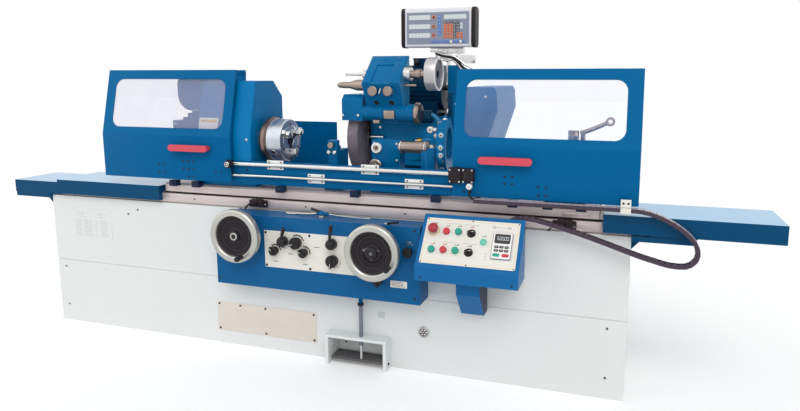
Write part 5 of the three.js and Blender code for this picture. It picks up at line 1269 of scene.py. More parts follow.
valves = Piece("coolant_valves", HEAD, pale_blue_and_painted_light, bright_steel, brass, slot="blue_paint")
for z, x in ((1030, 584), (990, 590), (946, 596)):
    valves.add(ball((x, 56, z), 15))
    valves.add(rod("y", 8, (x, 0, z), 30, 52, 1.5, 20), 1)
    valves.add(rod("y", 11, (x, 0, z), 24, 34, 2.0, 6), 1)
valves.add(tube(smooth_line([(590, 62, 1000), (604, 60, 960), (600, 60, 900), (584, 64, 880)]), 9, 14))
valves.add(tube(smooth_line([(560, 30, 1006), (540, 24, 1010), (520, 22, 1004)]), 8, 14))
valves.add(rod("x", 15, (0, 22, 1004), 498, 522, 2.0), 2)
valves.add(rod("x", 9, (0, 22, 1004), 490, 500, 1.0), 1)
valves.done()

# Grinding wheel
WHEEL_LEFT, WHEEL_RIGHT, WHEEL_RADIUS = 150, 205, 200
wheel = detailed("grinding_wheel", wheel_grit, turned_steel, plate_cream, slot="abrasive")
stone = [
    (60, WHEEL_LEFT), (WHEEL_RADIUS - 4, WHEEL_LEFT), (WHEEL_RADIUS, WHEEL_LEFT + 3),
    (WHEEL_RADIUS, WHEEL_RIGHT - 3), (WHEEL_RADIUS - 4, WHEEL_RIGHT), (60, WHEEL_RIGHT),
]
wheel.add(turned("x", WHEEL_AXIS, stone, 96))
wheel.add(turned("x", WHEEL_AXIS, [(40, 138.5), (82, 138.5), (85, 141), (85, WHEEL_LEFT)], 72), 1)
wheel.add(turned("x", WHEEL_AXIS, [(85, WHEEL_RIGHT), (85, 214), (82, 216.5), (40, 216.5)], 72), 1)
wheel.add(rod("x", 29.5, WHEEL_AXIS, WHEEL_RIGHT, 564, 1.0), 1)
wheel.add(ring("x", 102, 85.2, WHEEL_AXIS, 149.4, 150.2, 0.2, 72), 2)
for place in circle_places("x", WHEEL_AXIS, 68, 6):
    wheel.add(rod("x", 5, place, 138.0, 140, 0.4, 16), 1)
wheel.done()


# Internal grinding bracket and its spindle
def bracket_finish(c, n):
    """Oiled steel on the bracket's two ends, a paler blue on its right side as painted light."""
    return 1 if c.x < 250 or c.x > 460 else 2 if n.x > 0.7 and c.x > 400 else 0


finished_copy(
    "internal_bracket", (casting_blue, bronze_steel, pale_blue_and_painted_light), 4.0, "sky_paint", bracket_finish, 16
)
bracket_trim = Piece(
    "internal_bracket_fittings", "internal_bracket", bronze_steel, black_plastic, casting_blue, bright_steel,
    slot="sky_paint",
)
for x in (309.5, 383.1):
    bracket_trim.add(turned("y", (x, 0, 1232), [(20, -60), (23, -57), (23, -46), (20, -42), (14, -30)], 36))
    hole = at(x, -3.2, 1180) @ turn_about("X", 28.4) @ FACING_FRONT
    bracket_trim.add(ring("z", 19, 13, ORIGIN, -1, 2.5, 1.0, 32), 2, hole)
    bracket_trim.add(turned("z", ORIGIN, [(13.2, -1), (13.2, 0.6), (9, 0.8)], 32), 1, hole)
bracket_trim.add(tube([(341, -52, 1222), (352, -58, 1246)], 4.5, 14), 3)
slope_turn = at(346.5, -50, 1266) @ turn_about("X", 42.6)
for left, right, low in ((-90, -48, 3), (38, 90, 3), (-50, 40, 122)):
    bracket_trim.add(block(left, right, low, 183, -1, 5, 2.0), 2, slope_turn)
for up in (150, 158):
    bracket_trim.add(block(-84, 84, up, up + 2.5, 4, 6.5, 0.8), 2, slope_turn)
bracket_trim.add(block(350, 402, -23, -6, 1106, 1144, 3.0))
bracket_trim.add(block(352, 400, -25, -22, 1120, 1124, 0.8))
for start, end in ((318, 336), (404, 416)):
    bracket_trim.add(ring("x", 41, 36, HINGE_AXIS, start, end, 2.0), 2)
bracket_trim.add(block(300, 332, -30, -12, 1084, 1100, 3.0))
cone = [(8, -150), (13, -140), (15, -118), (15, -70), (24, -50), (26, -20), (26, -8)]
bracket_trim.add(turned("x", (262, 4, 1258), cone, 36))
bracket_trim.done()

SPINDLE_CENTRE = (254.5, 25, 1308)
spindle = detailed(
    "internal_spindle", turned_steel, bronze_steel, cup_silver, bright_steel, cup_inside, trim_white,
    slot="ground_steel",
)
quill_end = [
    (4, -113), (6, -110), (6.5, -60), (7.5, -40), (7.5, -22), (18, -22), (20, -20), (20, -2), (17.3, -1),
    (17.3, 184), (17.3, 190),
]
collar = [(17, 184.3), (31, 184.3), (33, 187), (33, 214), (30, 217), (22, 218)]
neck = [(17, 217), (17, 236), (23, 238), (23, 262), (17, 264), (17, 340)]
cup = [(17, 296), (73, 296), (75, 298), (75, 345), (74, 347), (66, 347), (66, 304), (18, 304)]
cup_floor = [(65.9, 340), (64, 304.5), (44, 304.5), (36, 312), (18, 312)]
for profile, sides, finish in (
    (quill_end, 40, 0), (collar, 44, 3), (neck, 36, 1), (cup, 60, 2), (cup_floor, 60, 4)
):
    spindle.add(turned("x", SPINDLE_CENTRE, profile, sides), finish)
spindle.add(ring("x", 75, 65.5, SPINDLE_CENTRE, 344, 348, 1.0, 60), 5)
for place in circle_places("x", SPINDLE_CENTRE, 52, 4):
    spindle.add(rod("x", 4, place, 303, 307, 0.6, 14))
spindle.done()

# Digital readout on its arm
HOUSING_FRONT, FACE_FRONT, KEY_FRONT = 124.2, 122.9, 120.8
readout = Piece(
    "readout_housing", HEAD, silver_frame, black_satin, grey_face, bright_steel, deep_blue, motor_blue,
    slot="white_paint", stands_for=("readout",),
)
readout.add(block(400, 728, 124, 198, 1432, 1609, 9.0, 4))
for x in (386, 723):
    readout.add(prism("x", rounded_outline(120, 200, 1430, 1612, 24), x, x + 18, 4.0, 3), 1)
readout.add(plate(rounded_outline(414, 713, 1446, 1590, 3), None, 1.4), 2, facing(0, HOUSING_FRONT, 0))
readout.add(block(606, 671.8, 151, 199, 1215.2, 1350, 5.0), 4)
readout.add(block(606, 629.6, 151, 199, 1100.2, 1222, 3.0), 5)
readout.add(block(600.5, 629.6, 145, 199, 1100.2, 1108, 2.0), 4)
readout.add(block(644, 672, 154, 192, 1349, 1400, 3.0), 3)
readout.add(block(540, 676, 152, 196, 1404, 1431, 3.0), 3)
readout.add(block(520, 560, 146, 200, 1412, 1431, 3.0), 3)
readout.add(block(598, 606, 150, 200, 1258, 1378, 2.0), 3)
for x in (578, 600, 648, 668):
    readout.add(rod("y", 7, (x, 0, 1418), 144, 152, 1.5, 20), 3)
readout.add(block(640, 738, 146, 152, 1358, 1396, 1.5), 3)
for drop, out, finish in ((0, 148, 3), (9, 144, 1), (20, 150, 3)):
    cable = [
        (548, out, 1412 - drop), (590, out - 4, 1398 - drop), (640, out - 6, 1388 - drop),
        (690, out - 2, 1352 - drop * 2), (736, out, 1330 - drop),
    ]
    readout.add(tube(smooth_line(cable), 4.6, 12), finish)
readout.add(
    tube(smooth_line([(560, 146, 1402), (572, 142, 1380), (610, 142, 1370), (652, 144, 1394)]), 4.0, 12), 3
)
readout.done()

# Plain seven-segment digits, each segment a share of a digit's width and height
SEGMENTS = {"0": "abcdef", "5": "afgcd", "8": "abcdefg"}
SEGMENT_BOXES = {
    "a": (0.12, 0.88, 0.92, 1.0), "b": (0.88, 1.0, 0.53, 0.95), "c": (0.88, 1.0, 0.05, 0.47),
    "d": (0.12, 0.88, 0.0, 0.08), "e": (0.0, 0.12, 0.05, 0.47), "f": (0.0, 0.12, 0.53, 0.95),
    "g": (0.12, 0.88, 0.46, 0.54),
}


def add_number(piece, text, x, y, z, width, height, pitch, finish, matrix=None):
    """Plain seven-segment digits on a front face."""
    for place, digit in enumerate(text):
        left = x + place * pitch
        for segment in SEGMENTS[digit]:
            a, b, c, d = SEGMENT_BOXES[segment]
            bar = block(left + a * width, left + b * width, y - 0.6, y, z + c * height, z + d * height, 0)
            piece.add(bar, finish, matrix)


face = Piece(
    "readout_display", HEAD, display_pale, digit_pale, key_orange, display_dark, key_blue, trim_white,
    slot="white_paint",
)
DIGIT_FRONT = 121.6


def add_key(x, z, half_width, half_height, finish):
    x0, x1, z0, z1 = x - half_width, x + half_width, z - half_height, z + half_height
    face.add(block(x0, x1, KEY_FRONT, KEY_FRONT + 2.2, z0, z1, 1.2), finish)


def print_on_key(x, z, half_width, half_height, finish):
    x0, x1, z0, z1 = x - half_width, x + half_width, z - half_height, z + half_height
    face.add(block(x0, x1, KEY_FRONT - 0.4, KEY_FRONT + 0.1, z0, z1, 0), finish)


for top in (1578, 1537, 1497):
    face.add(plate(rounded_outline(424, 530, top - 22, top, 2), None, 1.2), 0, facing(0, FACE_FRONT, 0))
    add_number(face, "888888", 430, DIGIT_FRONT, top - 19, 10, 16, 16.2, 1)
    face.add(ring("y", 9, 5.5, (545, 0, top - 11), 120.6, 123, 1.0, 28), 2)
    face.add(rod("y", 5.6, (545, 0, top - 11), 121.0, 123, 0.4, 20), 3)
face.add(plate(rounded_outline(594, 702, 1557, 1578, 2), None, 1.2), 0, facing(0, FACE_FRONT, 0))
add_number(face, "88888888", 599, DIGIT_FRONT, 1560, 8, 15, 12.6, 1)
for row in range(6):
    z = 1568 - row * 15
    face.add(rod("y", 7.4, (574, 0, z), KEY_FRONT, 123, 1.0, 22), 4)
    print_on_key(574, z, 2.5, 1, 5)
for column in range(6):
    for row in range(4 if column == 5 else 0, 6):
        x, z = 600 + column * 15.4, 1544 - row * 13.4
        orange = row > 0 and (column < 3 or row > 3 and column > 3)
        add_key(x, z, 6.4, 5.6, 2 if orange else 3)
        print_on_key(x, z, 2.6, 2.2, 3 if orange else 0)
for z in (1534, 1519):
    face.add(ring("y", 6.6, 3.4, (677, 0, z), KEY_FRONT, 123, 0.8, 22), 5)
for column in range(11):
    add_key(539 + column * 15, 1456.5, 5, 5.5, 5 if column in (6, 9) else 4)
face.done()


# Apron with its control plate
def apron_finish(c, n):
    """Cream on the control plate."""
    return 1 if c.y < APRON_FRONT - 0.3 else 0


finished_copy("apron_housing", (sky_blue, plate_cream), 2.5, "sky_paint", apron_finish, 16)
apron_trim = Piece(
    "apron_fittings", BASE, black_plastic, plate_cream, key_grey, mark_grey, bright_steel, sky_blue,
    slot="black_plastic",
)
add_screws(apron_trim, grid((-102, 116, 332), CONTROL_FRONT, (461, 611)), 5.6, 2.6, 0, 0)
ARC_DASHES, ARC_MARKS = 14, 5


def add_arc(piece, x, z, radius, width, first, last, y, finish):
    """A printed arc of a scale, in dashes, with cross marks outside it."""

    def spot(reach, share):
        angle = math.radians(first + (last - first) * share)
        place = at(x + reach * math.cos(angle), y, z + reach * math.sin(angle))
        return place @ Matrix.Rotation(-angle, 4, "Y")

    span = radius * math.radians(abs(last - first)) / ARC_DASHES * 0.62
    for k in range(ARC_DASHES):
        dash = block(-width / 2, width / 2, -0.25, 0, -span, span, 0)
        piece.add(dash, finish, spot(radius, k / (ARC_DASHES - 1)))
    for k in range(ARC_MARKS):
        piece.add(block(-3, 3, -0.25, 0, -0.6, 0.6, 0), finish, spot(radius + 4, k / (ARC_MARKS - 1)))


for x, z, radius, width, first, last, front, finish in (
    (55, 577, 32, 5.0, 20, 120, CONTROL_FRONT, 0),
    (-55, 533, 25, 5.0, 10, 130, CONTROL_FRONT, 0),
    (91, 535, 25, 5.0, -10, 100, CONTROL_FRONT, 0),
    (230, 511, 32, 1.6, 200, 340, CONTROL_FRONT, 3),
    (440, 444, 26, 1.6, 20, 160, APRON_FRONT, 3),
):
    add_arc(apron_trim, x, z, radius, width, first, last, front, finish)
for x, z in ((-55, 480), (91, 478), (-10, 545), (20, 520), (150, 560)):
    apron_trim.add(block(x - 12, x + 12, CONTROL_FRONT - 0.3, CONTROL_FRONT, z, z + 3, 0), 3)
apron_trim.add(plate(rounded_outline(492, 566, 418, 447, 2), None, 1.2), 1, facing(0, APRON_FRONT, 0))
for k in range(4):
    low = 423 + k * 6
    apron_trim.add(block(498, 558 - (k * 9) % 14, APRON_FRONT - 1.6, APRON_FRONT - 1.1, low, low + 2, 0), 3)
for k in range(3):
    low = 609 + k * 5
    apron_trim.add(block(556, 592 - (k * 11) % 16, APRON_FRONT - 0.6, APRON_FRONT, low, low + 2, 0), 4)
for x, z in ((600, 670), (600, 376), (-356, 376)):
    apron_trim.add(rod("y", 5.5, (x, 0, z), -320.6, -319, 0.4, 18))
    apron_trim.add(ring("y", 8, 5.5, (x, 0, z), -321, -319.4, 0.4, 20), 5)
apron_trim.done()

apron_valves = Piece(
    "apron_top_valves", BASE, sky_blue, black_plastic, brushed_plate, bright_steel, slot="sky_paint"
)
apron_valves.add(rod("z", 13, (150, -268, 0), 683, 694, 2.0), 2)
apron_valves.add(ball((150, -268, 700), 14))
apron_valves.add(rod("x", 8, (0, -268, 700), 130, 182, 1.5))
apron_valves.add(tube([(146, -268, 708), (128, -272, 714), (104, -276, 722)], 6.0, 14), 1)
right_pipe = [(186, -268, 700), (250, -262, 694), (330, -256, 690), (372, -250, 689)]
left_pipe = [(120, -262, 698), (60, -256, 692), (0, -250, 690), (-40, -246, 689)]
for pipe, radius, finish in ((right_pipe, 2.6, 3), (left_pipe, 3.4, 2)):
    apron_valves.add(tube(smooth_line(pipe), radius, 12), finish)
apron_valves.add(block(-30, 20, -262, -238, 684, 692, 2.0), 3)
apron_valves.add(tube([(470, -306, 684), (486, -310, 692), (528, -314, 700)], 5.5, 14), 1)
apron_valves.add(rod("z", 9, (470, -306, 0), 683, 690, 1.5), 3)
apron_valves.done()

# Handwheels, levers and knobs on the apron
RIM_FRONT = -410.0
KNOB_FACE = CONTROL_FRONT - 0.3
SHAFT_END = -295


def make_handwheel(name, x, z, crank_angle, dished):
    """A steel rim round a ridged dish, a hub and a crank. A dished wheel has a bolted cap for a boss."""
    front, centre = RIM_FRONT, (x, 0, z)
    wheel = detailed(name, black_satin, rim_steel, black_plastic, dish_line, mark_grey, slot="black_plastic")
    rim = [
        (90, 8), (92, 2.5), (96, 0), (101, 1.4), (108, 0.6), (115, 1.6), (119.4, 6), (120, 12), (120, 30),
        (117, 36), (99, 37), (93, 32), (90, 20),
    ]
    dish = [(20, 14), (26, 19), (60, 23), (84, 17), (93, 10), (93, 24), (80, 28), (26, 32)]
    hub = [
        (21, front + 6), (24, front + 8), (24, front + 86), (24, KNOB_FACE - 0.1), (8, KNOB_FACE - 0.1),
        (8, SHAFT_END),
    ]
    wheel.add(spun("y", centre, [(radius, front + deep) for radius, deep in rim], 72, closed=True), 1)
    wheel.add(turned("y", centre, [(radius, front + deep) for radius, deep in dish], 72))
    for radius, deep in ((86, 16.4), (70, 20.6), (50, 21.6), (34, 19.4)):
        wheel.add(ring("y", radius, radius - 3.2, centre, front + deep, front + deep + 4, 1.0, 72), 3)
    wheel.add(turned("y", centre, hub), 2)
    wheel.add(ring("y", 17, 11, centre, front + 3.6, front + 7, 1.0), 2 if dished else 1)
    wheel.add(rod("y", 8, centre, front + 2.5, front + 7, 1.0), 4 if dished else 2)
    if dished:
        wheel.add(ring("y", 44, 40, centre, front + 17, front + 22, 1.0))
        wheel.add(rod("y", 7, (x - 34, 0, z + 10), front + 14, front + 22, 1.0), 4)
        for place in circle_places("y", centre, 30, 3, 0.4):
            wheel.add(rod("y", 3.5, place, front + 16, front + 20, 0.5, 14), 4)
    angle = math.radians(crank_angle)
    crank_place = (x + 97 * math.cos(angle), 0, z + 97 * math.sin(angle))
    crank = [(8, -48), (11, -45), (12, -36), (9.4, -20), (8.6, -10), (10, -5), (6, -4), (6, 8)]
    wheel.add(turned("y", crank_place, [(radius, front + deep) for radius, deep in crank], 28), 2)
    wheel.add(rod("y", 9, crank_place, front - 4, front + 2, 1.0), 1)
    wheel.done(40)


make_handwheel("left_handwheel", -212, 602, -63, False)
make_handwheel("right_handwheel", 439, 581, -30, True)


def make_knob(name, x, z, radius, length, pointer, printed):
    """A ridged knob with a pointer bar, whose printed line is white (1) or dark (0)."""
    front = KNOB_FACE - length
    knob = detailed(name, black_plastic, trim_white, slot="black_plastic")
    profile = [
        (8, SHAFT_END), (8, KNOB_FACE), (radius - 3, KNOB_FACE), (radius - 3, KNOB_FACE - length * 0.35),
        (radius - 1, KNOB_FACE - length * 0.45), (radius, KNOB_FACE - length * 0.6),
        (radius, KNOB_FACE - length * 0.92), (radius - 2, front),
    ]
    knob.add(turned("y", (x, 0, z), profile, 48))
    for place in circle_places("y", (x, 0, z), radius, 24):
        knob.add(rod("y", 1.4, place, KNOB_FACE - length * 0.9, KNOB_FACE - length * 0.55, 0.3, 8))
    turn = at(x, 0, z) @ turn_about("Y", -pointer)
    knob.add(block(-radius * 0.9, radius * 1.18, front - 5, KNOB_FACE - length * 0.7, -5, 5, 2.0), 0, turn)
    knob.add(block(radius * 0.3, radius * 1.1, front - 5.6, front - 4.8, -1, 1, 0), printed, turn)
    knob.done(40)


for name, x, z, radius, length, pointer, printed in (
    ("feed_rate_knob", 55, 577, 26, 30, 200, 1),
    ("dwell_left_knob", -55, 533, 20, 28, 130, 1),
    ("dwell_right_knob", 91, 535, 20, 28, 150, 1),
    ("table_speed_knob", 230, 511, 26, 30, 260, 1),
    ("fine_feed_knob", 440, 444, 20, 26, 270, 0),
    ("coolant_knob", 575, 580, 20, 26, 90, 0),
):
    make_knob(name, x, z, radius, length, pointer, printed)


def make_lever(name, x, z, reach, degrees):
    """A round boss with a tapered grip that leans out of it."""
    lever = detailed(name, black_plastic, slot="black_plastic")
    boss = [
        (8, SHAFT_END), (8, KNOB_FACE), (22, KNOB_FACE), (24, -326), (24, -342), (22, -350), (17, -359),
        (9, -365),
    ]
    grip = [(5, 0), (5, 22), (6, 32), (8, reach - 14), (8.6, reach - 2), (6.4, reach + 6)]
    lever.add(turned("y", (x, 0, z), boss, 44))
    lever.add(turned("z", ORIGIN, grip, 28), 0, at(x, -359, z) @ turn_about("Y", 90 - degrees))
    lever.done(40)


make_lever("table_reverse_lever", -10, 578, 65, 72)
make_lever("table_drive_lever", 227, 585, 85, 82)


# Control desk
def desk_finish(c, n):
    """Painted shade on the foot's right side, in dark navy."""
    return 1 if n.x > 0.7 and 880 < c.x < 890 else 0


finished_copy("desk", (desk_blue, navy_and_painted_shade), 3.0, "sky_paint", desk_finish, 16)
SLOPE_RISE, SLOPE_RUN = 182, 146
PANEL = at(842.5, -355, 646) @ Matrix.Rotation(math.atan2(SLOPE_RISE, SLOPE_RUN), 4, "X")
PRINT_OUT = 2.7
KEYPAD_RIGHT, KEYPAD_UP = 130, -3


def on_panel(right, up, out=0.0):
    """A place on the desk's sloping panel, from the panel's middle."""
    return PANEL @ at(right, up, out)


panel = Piece(
    "desk_panel", BASE, plate_cream, mark_grey, mark_red, trim_white, black_plastic, yellow_ring,
    slot="white_paint",
)
panel.add(plate(rounded_outline(-192, 192, -99.5, 99.5, 6), None, 0.8, 0.2), 0, on_panel(0, 0, 2.0))
border = rounded_outline(-185, 185, -92.5, 92.5, 10)
inside = rounded_outline(-183.6, 183.6, -91.1, 91.1, 9)
panel.add(plate(border, inside, 0.3, 0), 5, on_panel(0, 0, PRINT_OUT))
for right, up in ((-186, 94), (186, 94), (-186, -94), (186, -94), (0, 95), (0, -95)):
    add_screw(panel, on_panel(right, up, 2.6), 3.0, 1.2, 4, 4)


def print_bar(right, up, half_width, half_height, finish=1):
    bar = block(-half_width, half_width, -half_height, half_height, 0, 0.3, 0)
    panel.add(bar, finish, on_panel(right, up, PRINT_OUT))


BUTTON_MARKS = (
    (-100, 66, 2), (-51, 68, 1), (1, 68, 2), (-149, -16, 2), (-100, -15, 2), (-51, -14, 1), (2, -15, 1),
    (55, 32, 1), (-154, 74, 2),
)
for right, up, finish in BUTTON_MARKS:
    print_bar(right, up, 9, 1.1, finish)
    print_bar(right + 6, up + 4.5, 2, 1.5)
for right, up in ((-76, 78), (1, 78), (-76, -4), (2, -4)):
    print_bar(right, up, 30, 0.4)
print_bar(120, 76, 40, 0.5)
for up in (-40, -52, -64):
    print_bar(70, up, 4, 0.7)
for right, up, outer, inner, height, edge, sides, finish in (
    (90, 76, 6, 4.8, 0.3, 0.1, 24, 1),
    (150, 76, 6, 4.8, 0.3, 0.1, 24, 1),
    (-154, 44, 23.5, 20.5, 1.2, 0.5, 40, 5),
    (-100, 40, 18, 14.6, 4.2, 1.2, 36, 3),
    (-51, 42, 18, 14.6, 4.2, 1.2, 36, 3),
    (-149, -42, 18, 14.6, 4.2, 1.2, 36, 3),
    (-100, -41, 18, 14.6, 4.2, 1.2, 36, 3),
    (-51, -40, 18, 14.6, 4.2, 1.2, 36, 3),
    (1, 41, 18, 14.6, 1.6, 0.6, 36, 4),
    (2, -41, 18, 14.6, 1.6, 0.6, 36, 4),
):
    panel.add(ring("z", outer, inner, ORIGIN, 0, height, edge, sides), finish, on_panel(right, up, PRINT_OUT))
panel.done()

lamp = Piece("desk_lamp", BASE, lamp_green, trim_white, slot="green_plastic")
lamp.add(turned("z", ORIGIN, [(14, 0), (14, 7), (12, 10), (6, 12)], 36), 0, on_panel(55, 6, 2.6))
lamp.add(ring("z", 18, 14.2, ORIGIN, 0, 4, 1.2, 36), 1, on_panel(55, 6, 2.6))
lamp.done()

keypad = Piece(
    "desk_keypad", BASE, trim_white, display_dark, digit_pale, button_green, button_red, black_plastic,
    key_grey, slot="white_paint",
)


def on_keypad(right, up, out):
    return on_panel(KEYPAD_RIGHT + right, KEYPAD_UP + up, out)


def keypad_plate(half_width, low, high, corner, depth, edge):
    return plate(rounded_outline(-half_width, half_width, low, high, corner), None, depth, edge)


keypad.add(keypad_plate(39, -57, 55, 6, 5.5, 1.0), 6, on_keypad(0, 0, 2.6))
keypad.add(keypad_plate(37, -55, 53, 5, 8.0, 1.2), 0, on_keypad(0, 0, 2.6))
keypad.add(keypad_plate(31, 8, 48, 6, 1.6, 0.4), 1, on_keypad(0, 0, 10.2))
add_number(keypad, "50000", -21, 0.4, 22, 7.5, 14, 9.5, 2, on_keypad(0, 0, 12.2) @ turn_about("X", -90))
for up in (-7, -22):
    for right in (-20, 0, 20):
        keypad.add(keypad_plate(8.5, -5, 5, 4.6, 2.2, 0.5), 5, on_keypad(right, up, 10.2))
        keypad.add(block(-3, 3, -1, 1, 0, 0.5, 0), 0, on_keypad(right, up, 12.2))
for right, finish in ((-18, 3), (18, 4)):
    keypad.add(keypad_plate(14, -6.5, 6.5, 6.2, 2.2, 0.5), finish, on_keypad(right, -41, 10.2))
keypad.done()

desk_screws = Piece("desk_screws", BASE, black_plastic, slot="black_plastic")
for z in (700, 520):
    desk_screws.add(rod("x", 4.5, (0, -295, z), 632.6, 635.2, 0.8, 16))
add_screws(desk_screws, grid((660, 1025), -428, (512,)), 4.0, 1.6, 0, 0)
desk_screws.done()

# Buttons and selectors on the desk
SHANK = [(7, -16), (7, 7.3)]
MUSHROOM = [*SHANK, (13, 7.3), (12, 19.3), (19, 21.3), (20, 25.3), (19.5, 31.3), (16, 35.3), (8, 37.3)]
ROUND_BUTTON = [*SHANK, (14, 7.3), (14, 16.3), (12.6, 19.3), (11, 18.5)]


def make_button(name, right, up, profile, finish, slot, ribs=0):
    """A button round the panel's normal, with ribs round its head where it is gripped."""
    button = detailed(name, finish, slot=slot)
    button.add(turned("z", ORIGIN, profile), 0, on_panel(right, up))
    for k in range(ribs):
        rib = on_panel(right, up) @ Matrix.Rotation(FULL_TURN * k / ribs, 4, "Z")
        button.add(block(18.6, 20.6, -1.2, 1.2, 22.3, 31.3, 0.4), 0, rib)
    button.done(40)


def make_selector(name, right, up):
    """A switch with a bar handle and a white line on it."""
    knob = detailed(name, black_plastic, trim_white, slot="black_plastic")
    handle = prism("z", rounded_outline(-13.4, 13.4, -4.4, 4.4, 3.6, 4), 8, 24, 1.0)
    foot = turned("z", ORIGIN, [(7, -16), (7, 2.4), (14, 2.4), (14, 8), (12.6, 10)])
    knob.add(foot, 0, on_panel(right, up))
    knob.add(handle, 0, on_panel(right, up))
    knob.add(block(3, 12.5, -0.8, 0.8, 23.8, 24.4, 0), 1, on_panel(right, up))
    knob.done(40)


make_button("emergency_stop", -154, 44, MUSHROOM, stop_red, "red_plastic", 24)
make_button("red_button_upper", -100, 40, ROUND_BUTTON, button_red, "red_plastic")
make_button("green_button_upper", -51, 42, ROUND_BUTTON, button_green, "green_plastic")
make_button("green_button_left", -149, -42, ROUND_BUTTON, button_green, "green_plastic")
make_button("red_button_lower", -100, -41, ROUND_BUTTON, button_red, "red_plastic")
make_button("green_button_lower", -51, -40, ROUND_BUTTON, button_green, "green_plastic")
make_selector("selector_upper", 1, 41)
make_selector("selector_lower", 2, -41)

# Foot pedal, its hood and rod
finished_copy("pedal_hood", (bed_white,), 2.5, "white_paint")
pedal_trim = Piece("pedal_hood_fittings", BASE, black_plastic, trim_white, slot="white_paint")
pedal_trim.add(rod("x", 6, (0, -240, 28), 445.5, 450, 1.0, 18))
pedal_trim.add(rod("y", 12, (200, 0, 62), -152, -149.6, 0.8, 24), 1)
pedal_trim.add(rod("y", 5, (200, 0, 62), -153, -151, 0.6, 18))
pedal_trim.done()
PEDAL_LEFT, PEDAL_RIGHT = 170, 424
pedal = detailed("foot_pedal", rubber_mat, bright_steel, slot="dark_iron")
pedal.add(block(PEDAL_LEFT, PEDAL_RIGHT, -250, -165, 22, 32.5, 2.0))
for k in range(16):
    rib = PEDAL_LEFT + 6 + k * 15.4
    pedal.add(block(rib, rib + 8, -247, -172, 32, 34, 0.6))
for y in (-244, -224, -204, -184):
    pedal.add(block(PEDAL_LEFT + 3, PEDAL_RIGHT - 3, y, y + 6, 32.6, 34, 0.6))
pedal.add(rod("x", 6, (0, -165, 28), PEDAL_LEFT, PEDAL_RIGHT, 0.8, 24), 1)
pedal.add(rod("x", 4.8, (0, -165, 28), 164.4, 429.6, 0.8, 24), 1)
pedal.done()
push_rod = detailed("pedal_rod", key_grey, black_plastic, deep_blue, bright_steel, slot="black_plastic")
for radius, low, high, edge, sides, finish in (
    (6.5, 34.4, 110, 1.0, 28, 3),
    (9, 100, 286, 1.0, 32, 0),
    (14, 286, 300, 3.0, 36, 1),
    (9.3, 300, 384, 1.0, 32, 2),
):
    push_rod.add(rod("z", radius, (317, -240, 0), low, high, edge, sides), finish)
push_rod.done()

# Energy chain, in links that follow its route
CHAIN_Y = -257
CHAIN_PLACES = [
    (850, 799), (1150, 799), (1410, 799), (1500, 793), (1572, 768), (1630, 734), (1670, 694), (1685, 654),
    (1676, 620), (1645, 598), (1590, 597), (1530, 610), (1461, 629), (1300, 680), (1180, 713), (1080, 736),
    (1020, 736), (980, 718), (958, 690),
]
CHAIN_PITCH = 24.0
CHAIN_STEPS = 24
NECK_LINKS = 3
BRACKET_END = 1430.0


def evenly_spaced(points, pitch):
    """Places along a line at an even pitch, each with its direction."""
    made, left = [], 0.0
    for a, b in zip(points, points[1:]):
        step = (b - a).length
        while left < step:
            made.append((a.lerp(b, left / step), (b - a).normalized()))
            left += pitch
        left -= step
    return made


def add_link(chain, place, along):
    """Two side plates, a dark lower bar, an upper bar pale as a painted highlight along the top edge, and a
    pin.
    """
    half = CHAIN_PITCH / 2
    turn = Matrix.Translation(place) @ Matrix.Rotation(-math.atan2(along.z, along.x), 4, "Y")
    for y in (-14.6, 10.6):
        chain.add(block(-half - 3, half - 0.5, y, y + 4, -8.4, 7.6, 1.6, 1), 0, turn)
    chain.add(block(-8, 6, -13, 13, -8.8, -7.2, 0.5, 1), 0, turn)
    # The upper bar is pale as a painted highlight.
    chain.add(block(-half + 0.6, half - 0.6, -14.4, 13, 7.2, 8.6, 0.5, 1), 1, turn)
    chain.add(rod("y", 3.2, (half - 4, 0, 0), -15, -14, 0.4, 8), 0, turn)


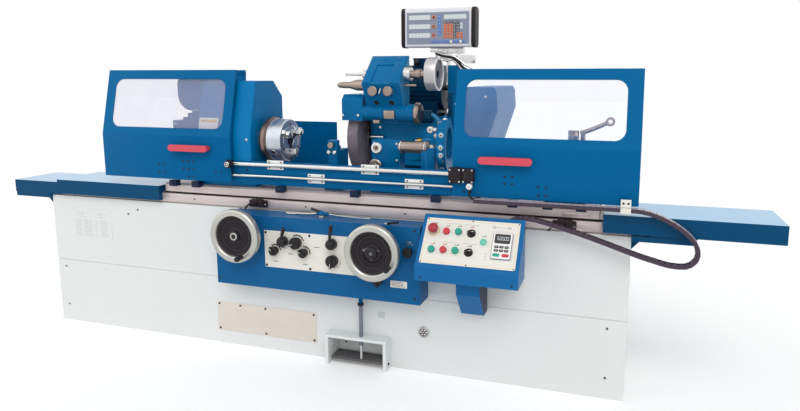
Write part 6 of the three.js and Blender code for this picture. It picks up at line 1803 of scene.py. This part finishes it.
def make_chain():
    """Four runs: straight on the swivel table, a neck down to the table, the bend, and the lower run."""
    line = smooth_line([(x, CHAIN_Y, z) for x, z in CHAIN_PLACES], CHAIN_STEPS)
    links = evenly_spaced(line, CHAIN_PITCH)
    tip = max(range(len(links)), key=lambda i: links[i][0].x)
    straight = sum(place.x < BRACKET_END for place, along in links[:tip])
    neck = straight + NECK_LINKS
    tip_x, last_x = links[tip][0].x, CHAIN_PLACES[-1][0]
    neck_x, bend_x = (links[i][0].x - CHAIN_PITCH / 2 for i in (straight, neck))
    runs = (
        ("energy_chain_straight", links[:straight], None),
        ("energy_chain_neck", links[straight:neck], (TABLE, SWIVEL, bend_x, neck_x)),
        ("energy_chain_bend", links[neck : tip + 1], (BASE, TABLE, 2 * tip_x - bend_x, bend_x)),
        ("energy_chain_lower", links[tip + 1 :], (BASE, TABLE, last_x, 2 * tip_x - last_x)),
    )
    for name, run, held in runs:
        chain = Piece(name, None if held else SWIVEL, chain_plastic, link_painted_highlight, slot="chain_plastic")
        for place, along in run:
            add_link(chain, place, along)
        made = chain.done()
        if not held:
            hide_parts("energy_chain")
        else:
            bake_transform(made)


make_chain()


# Floor, background and light
def make_stage():
    floor_material = bpy.data.materials.new("pale_floor")
    floor_material.use_nodes = True
    tree = floor_material.node_tree
    shader = tree.nodes["Principled BSDF"]
    coords = node(tree, "TexCoord").outputs["Object"]
    tint = mixed(tree, noise(tree, coords, 0.8, 2.0), linear(250, 250, 250), linear(246, 247, 248))
    tree.links.new(tint, shader.inputs["Base Color"])
    shader.inputs["Roughness"].default_value = 0.9
    shader.inputs["Specular IOR Level"].default_value = 0.1
    path = node(tree, "LightPath")
    tree.links.new(tint, shader.inputs["Emission Color"])
    tree.links.new(
        maths(tree, "MULTIPLY", path.outputs["Is Camera Ray"], 0.1), shader.inputs["Emission Strength"]
    )
    shape = bmesh.new()
    bmesh.ops.create_grid(shape, x_segments=2, y_segments=2, size=30)
    data = bpy.data.meshes.new("pale_floor")
    shape.to_mesh(data)
    shape.free()
    data.materials.append(floor_material)
    floor = bpy.data.objects.new("pale_floor", data)
    bpy.context.scene.collection.objects.link(floor)
    world = bpy.data.worlds.new("white_room")
    world.use_nodes = True
    bpy.context.scene.world = world
    tree = world.node_tree
    background = tree.nodes["Background"]
    path = node(tree, "LightPath")
    seen = maths(tree, "MAXIMUM", path.outputs["Is Camera Ray"], path.outputs["Is Glossy Ray"])
    seen = maths(tree, "MAXIMUM", seen, path.outputs["Is Transmission Ray"])
    background.inputs["Color"].default_value = (1.0, 1.0, 1.0, 1.0)
    tree.links.new(maths(tree, "MULTIPLY_ADD", seen, 0.35, 0.65), background.inputs["Strength"])


def add_sun(name, strength, angle, tilt, turn):
    data = bpy.data.lights.new(name, "SUN")
    data.energy = strength
    data.angle = math.radians(angle)
    sun = bpy.data.objects.new(name, data)
    sun.rotation_euler = (math.radians(tilt), 0, math.radians(turn))
    bpy.context.scene.collection.objects.link(sun)


make_stage()
add_sun("front_light", 1.2, 40, 44, 24)
add_sun("left_light", 0.5, 60, 60, -60)

bpy.context.scene.view_settings.view_transform = "Standard"
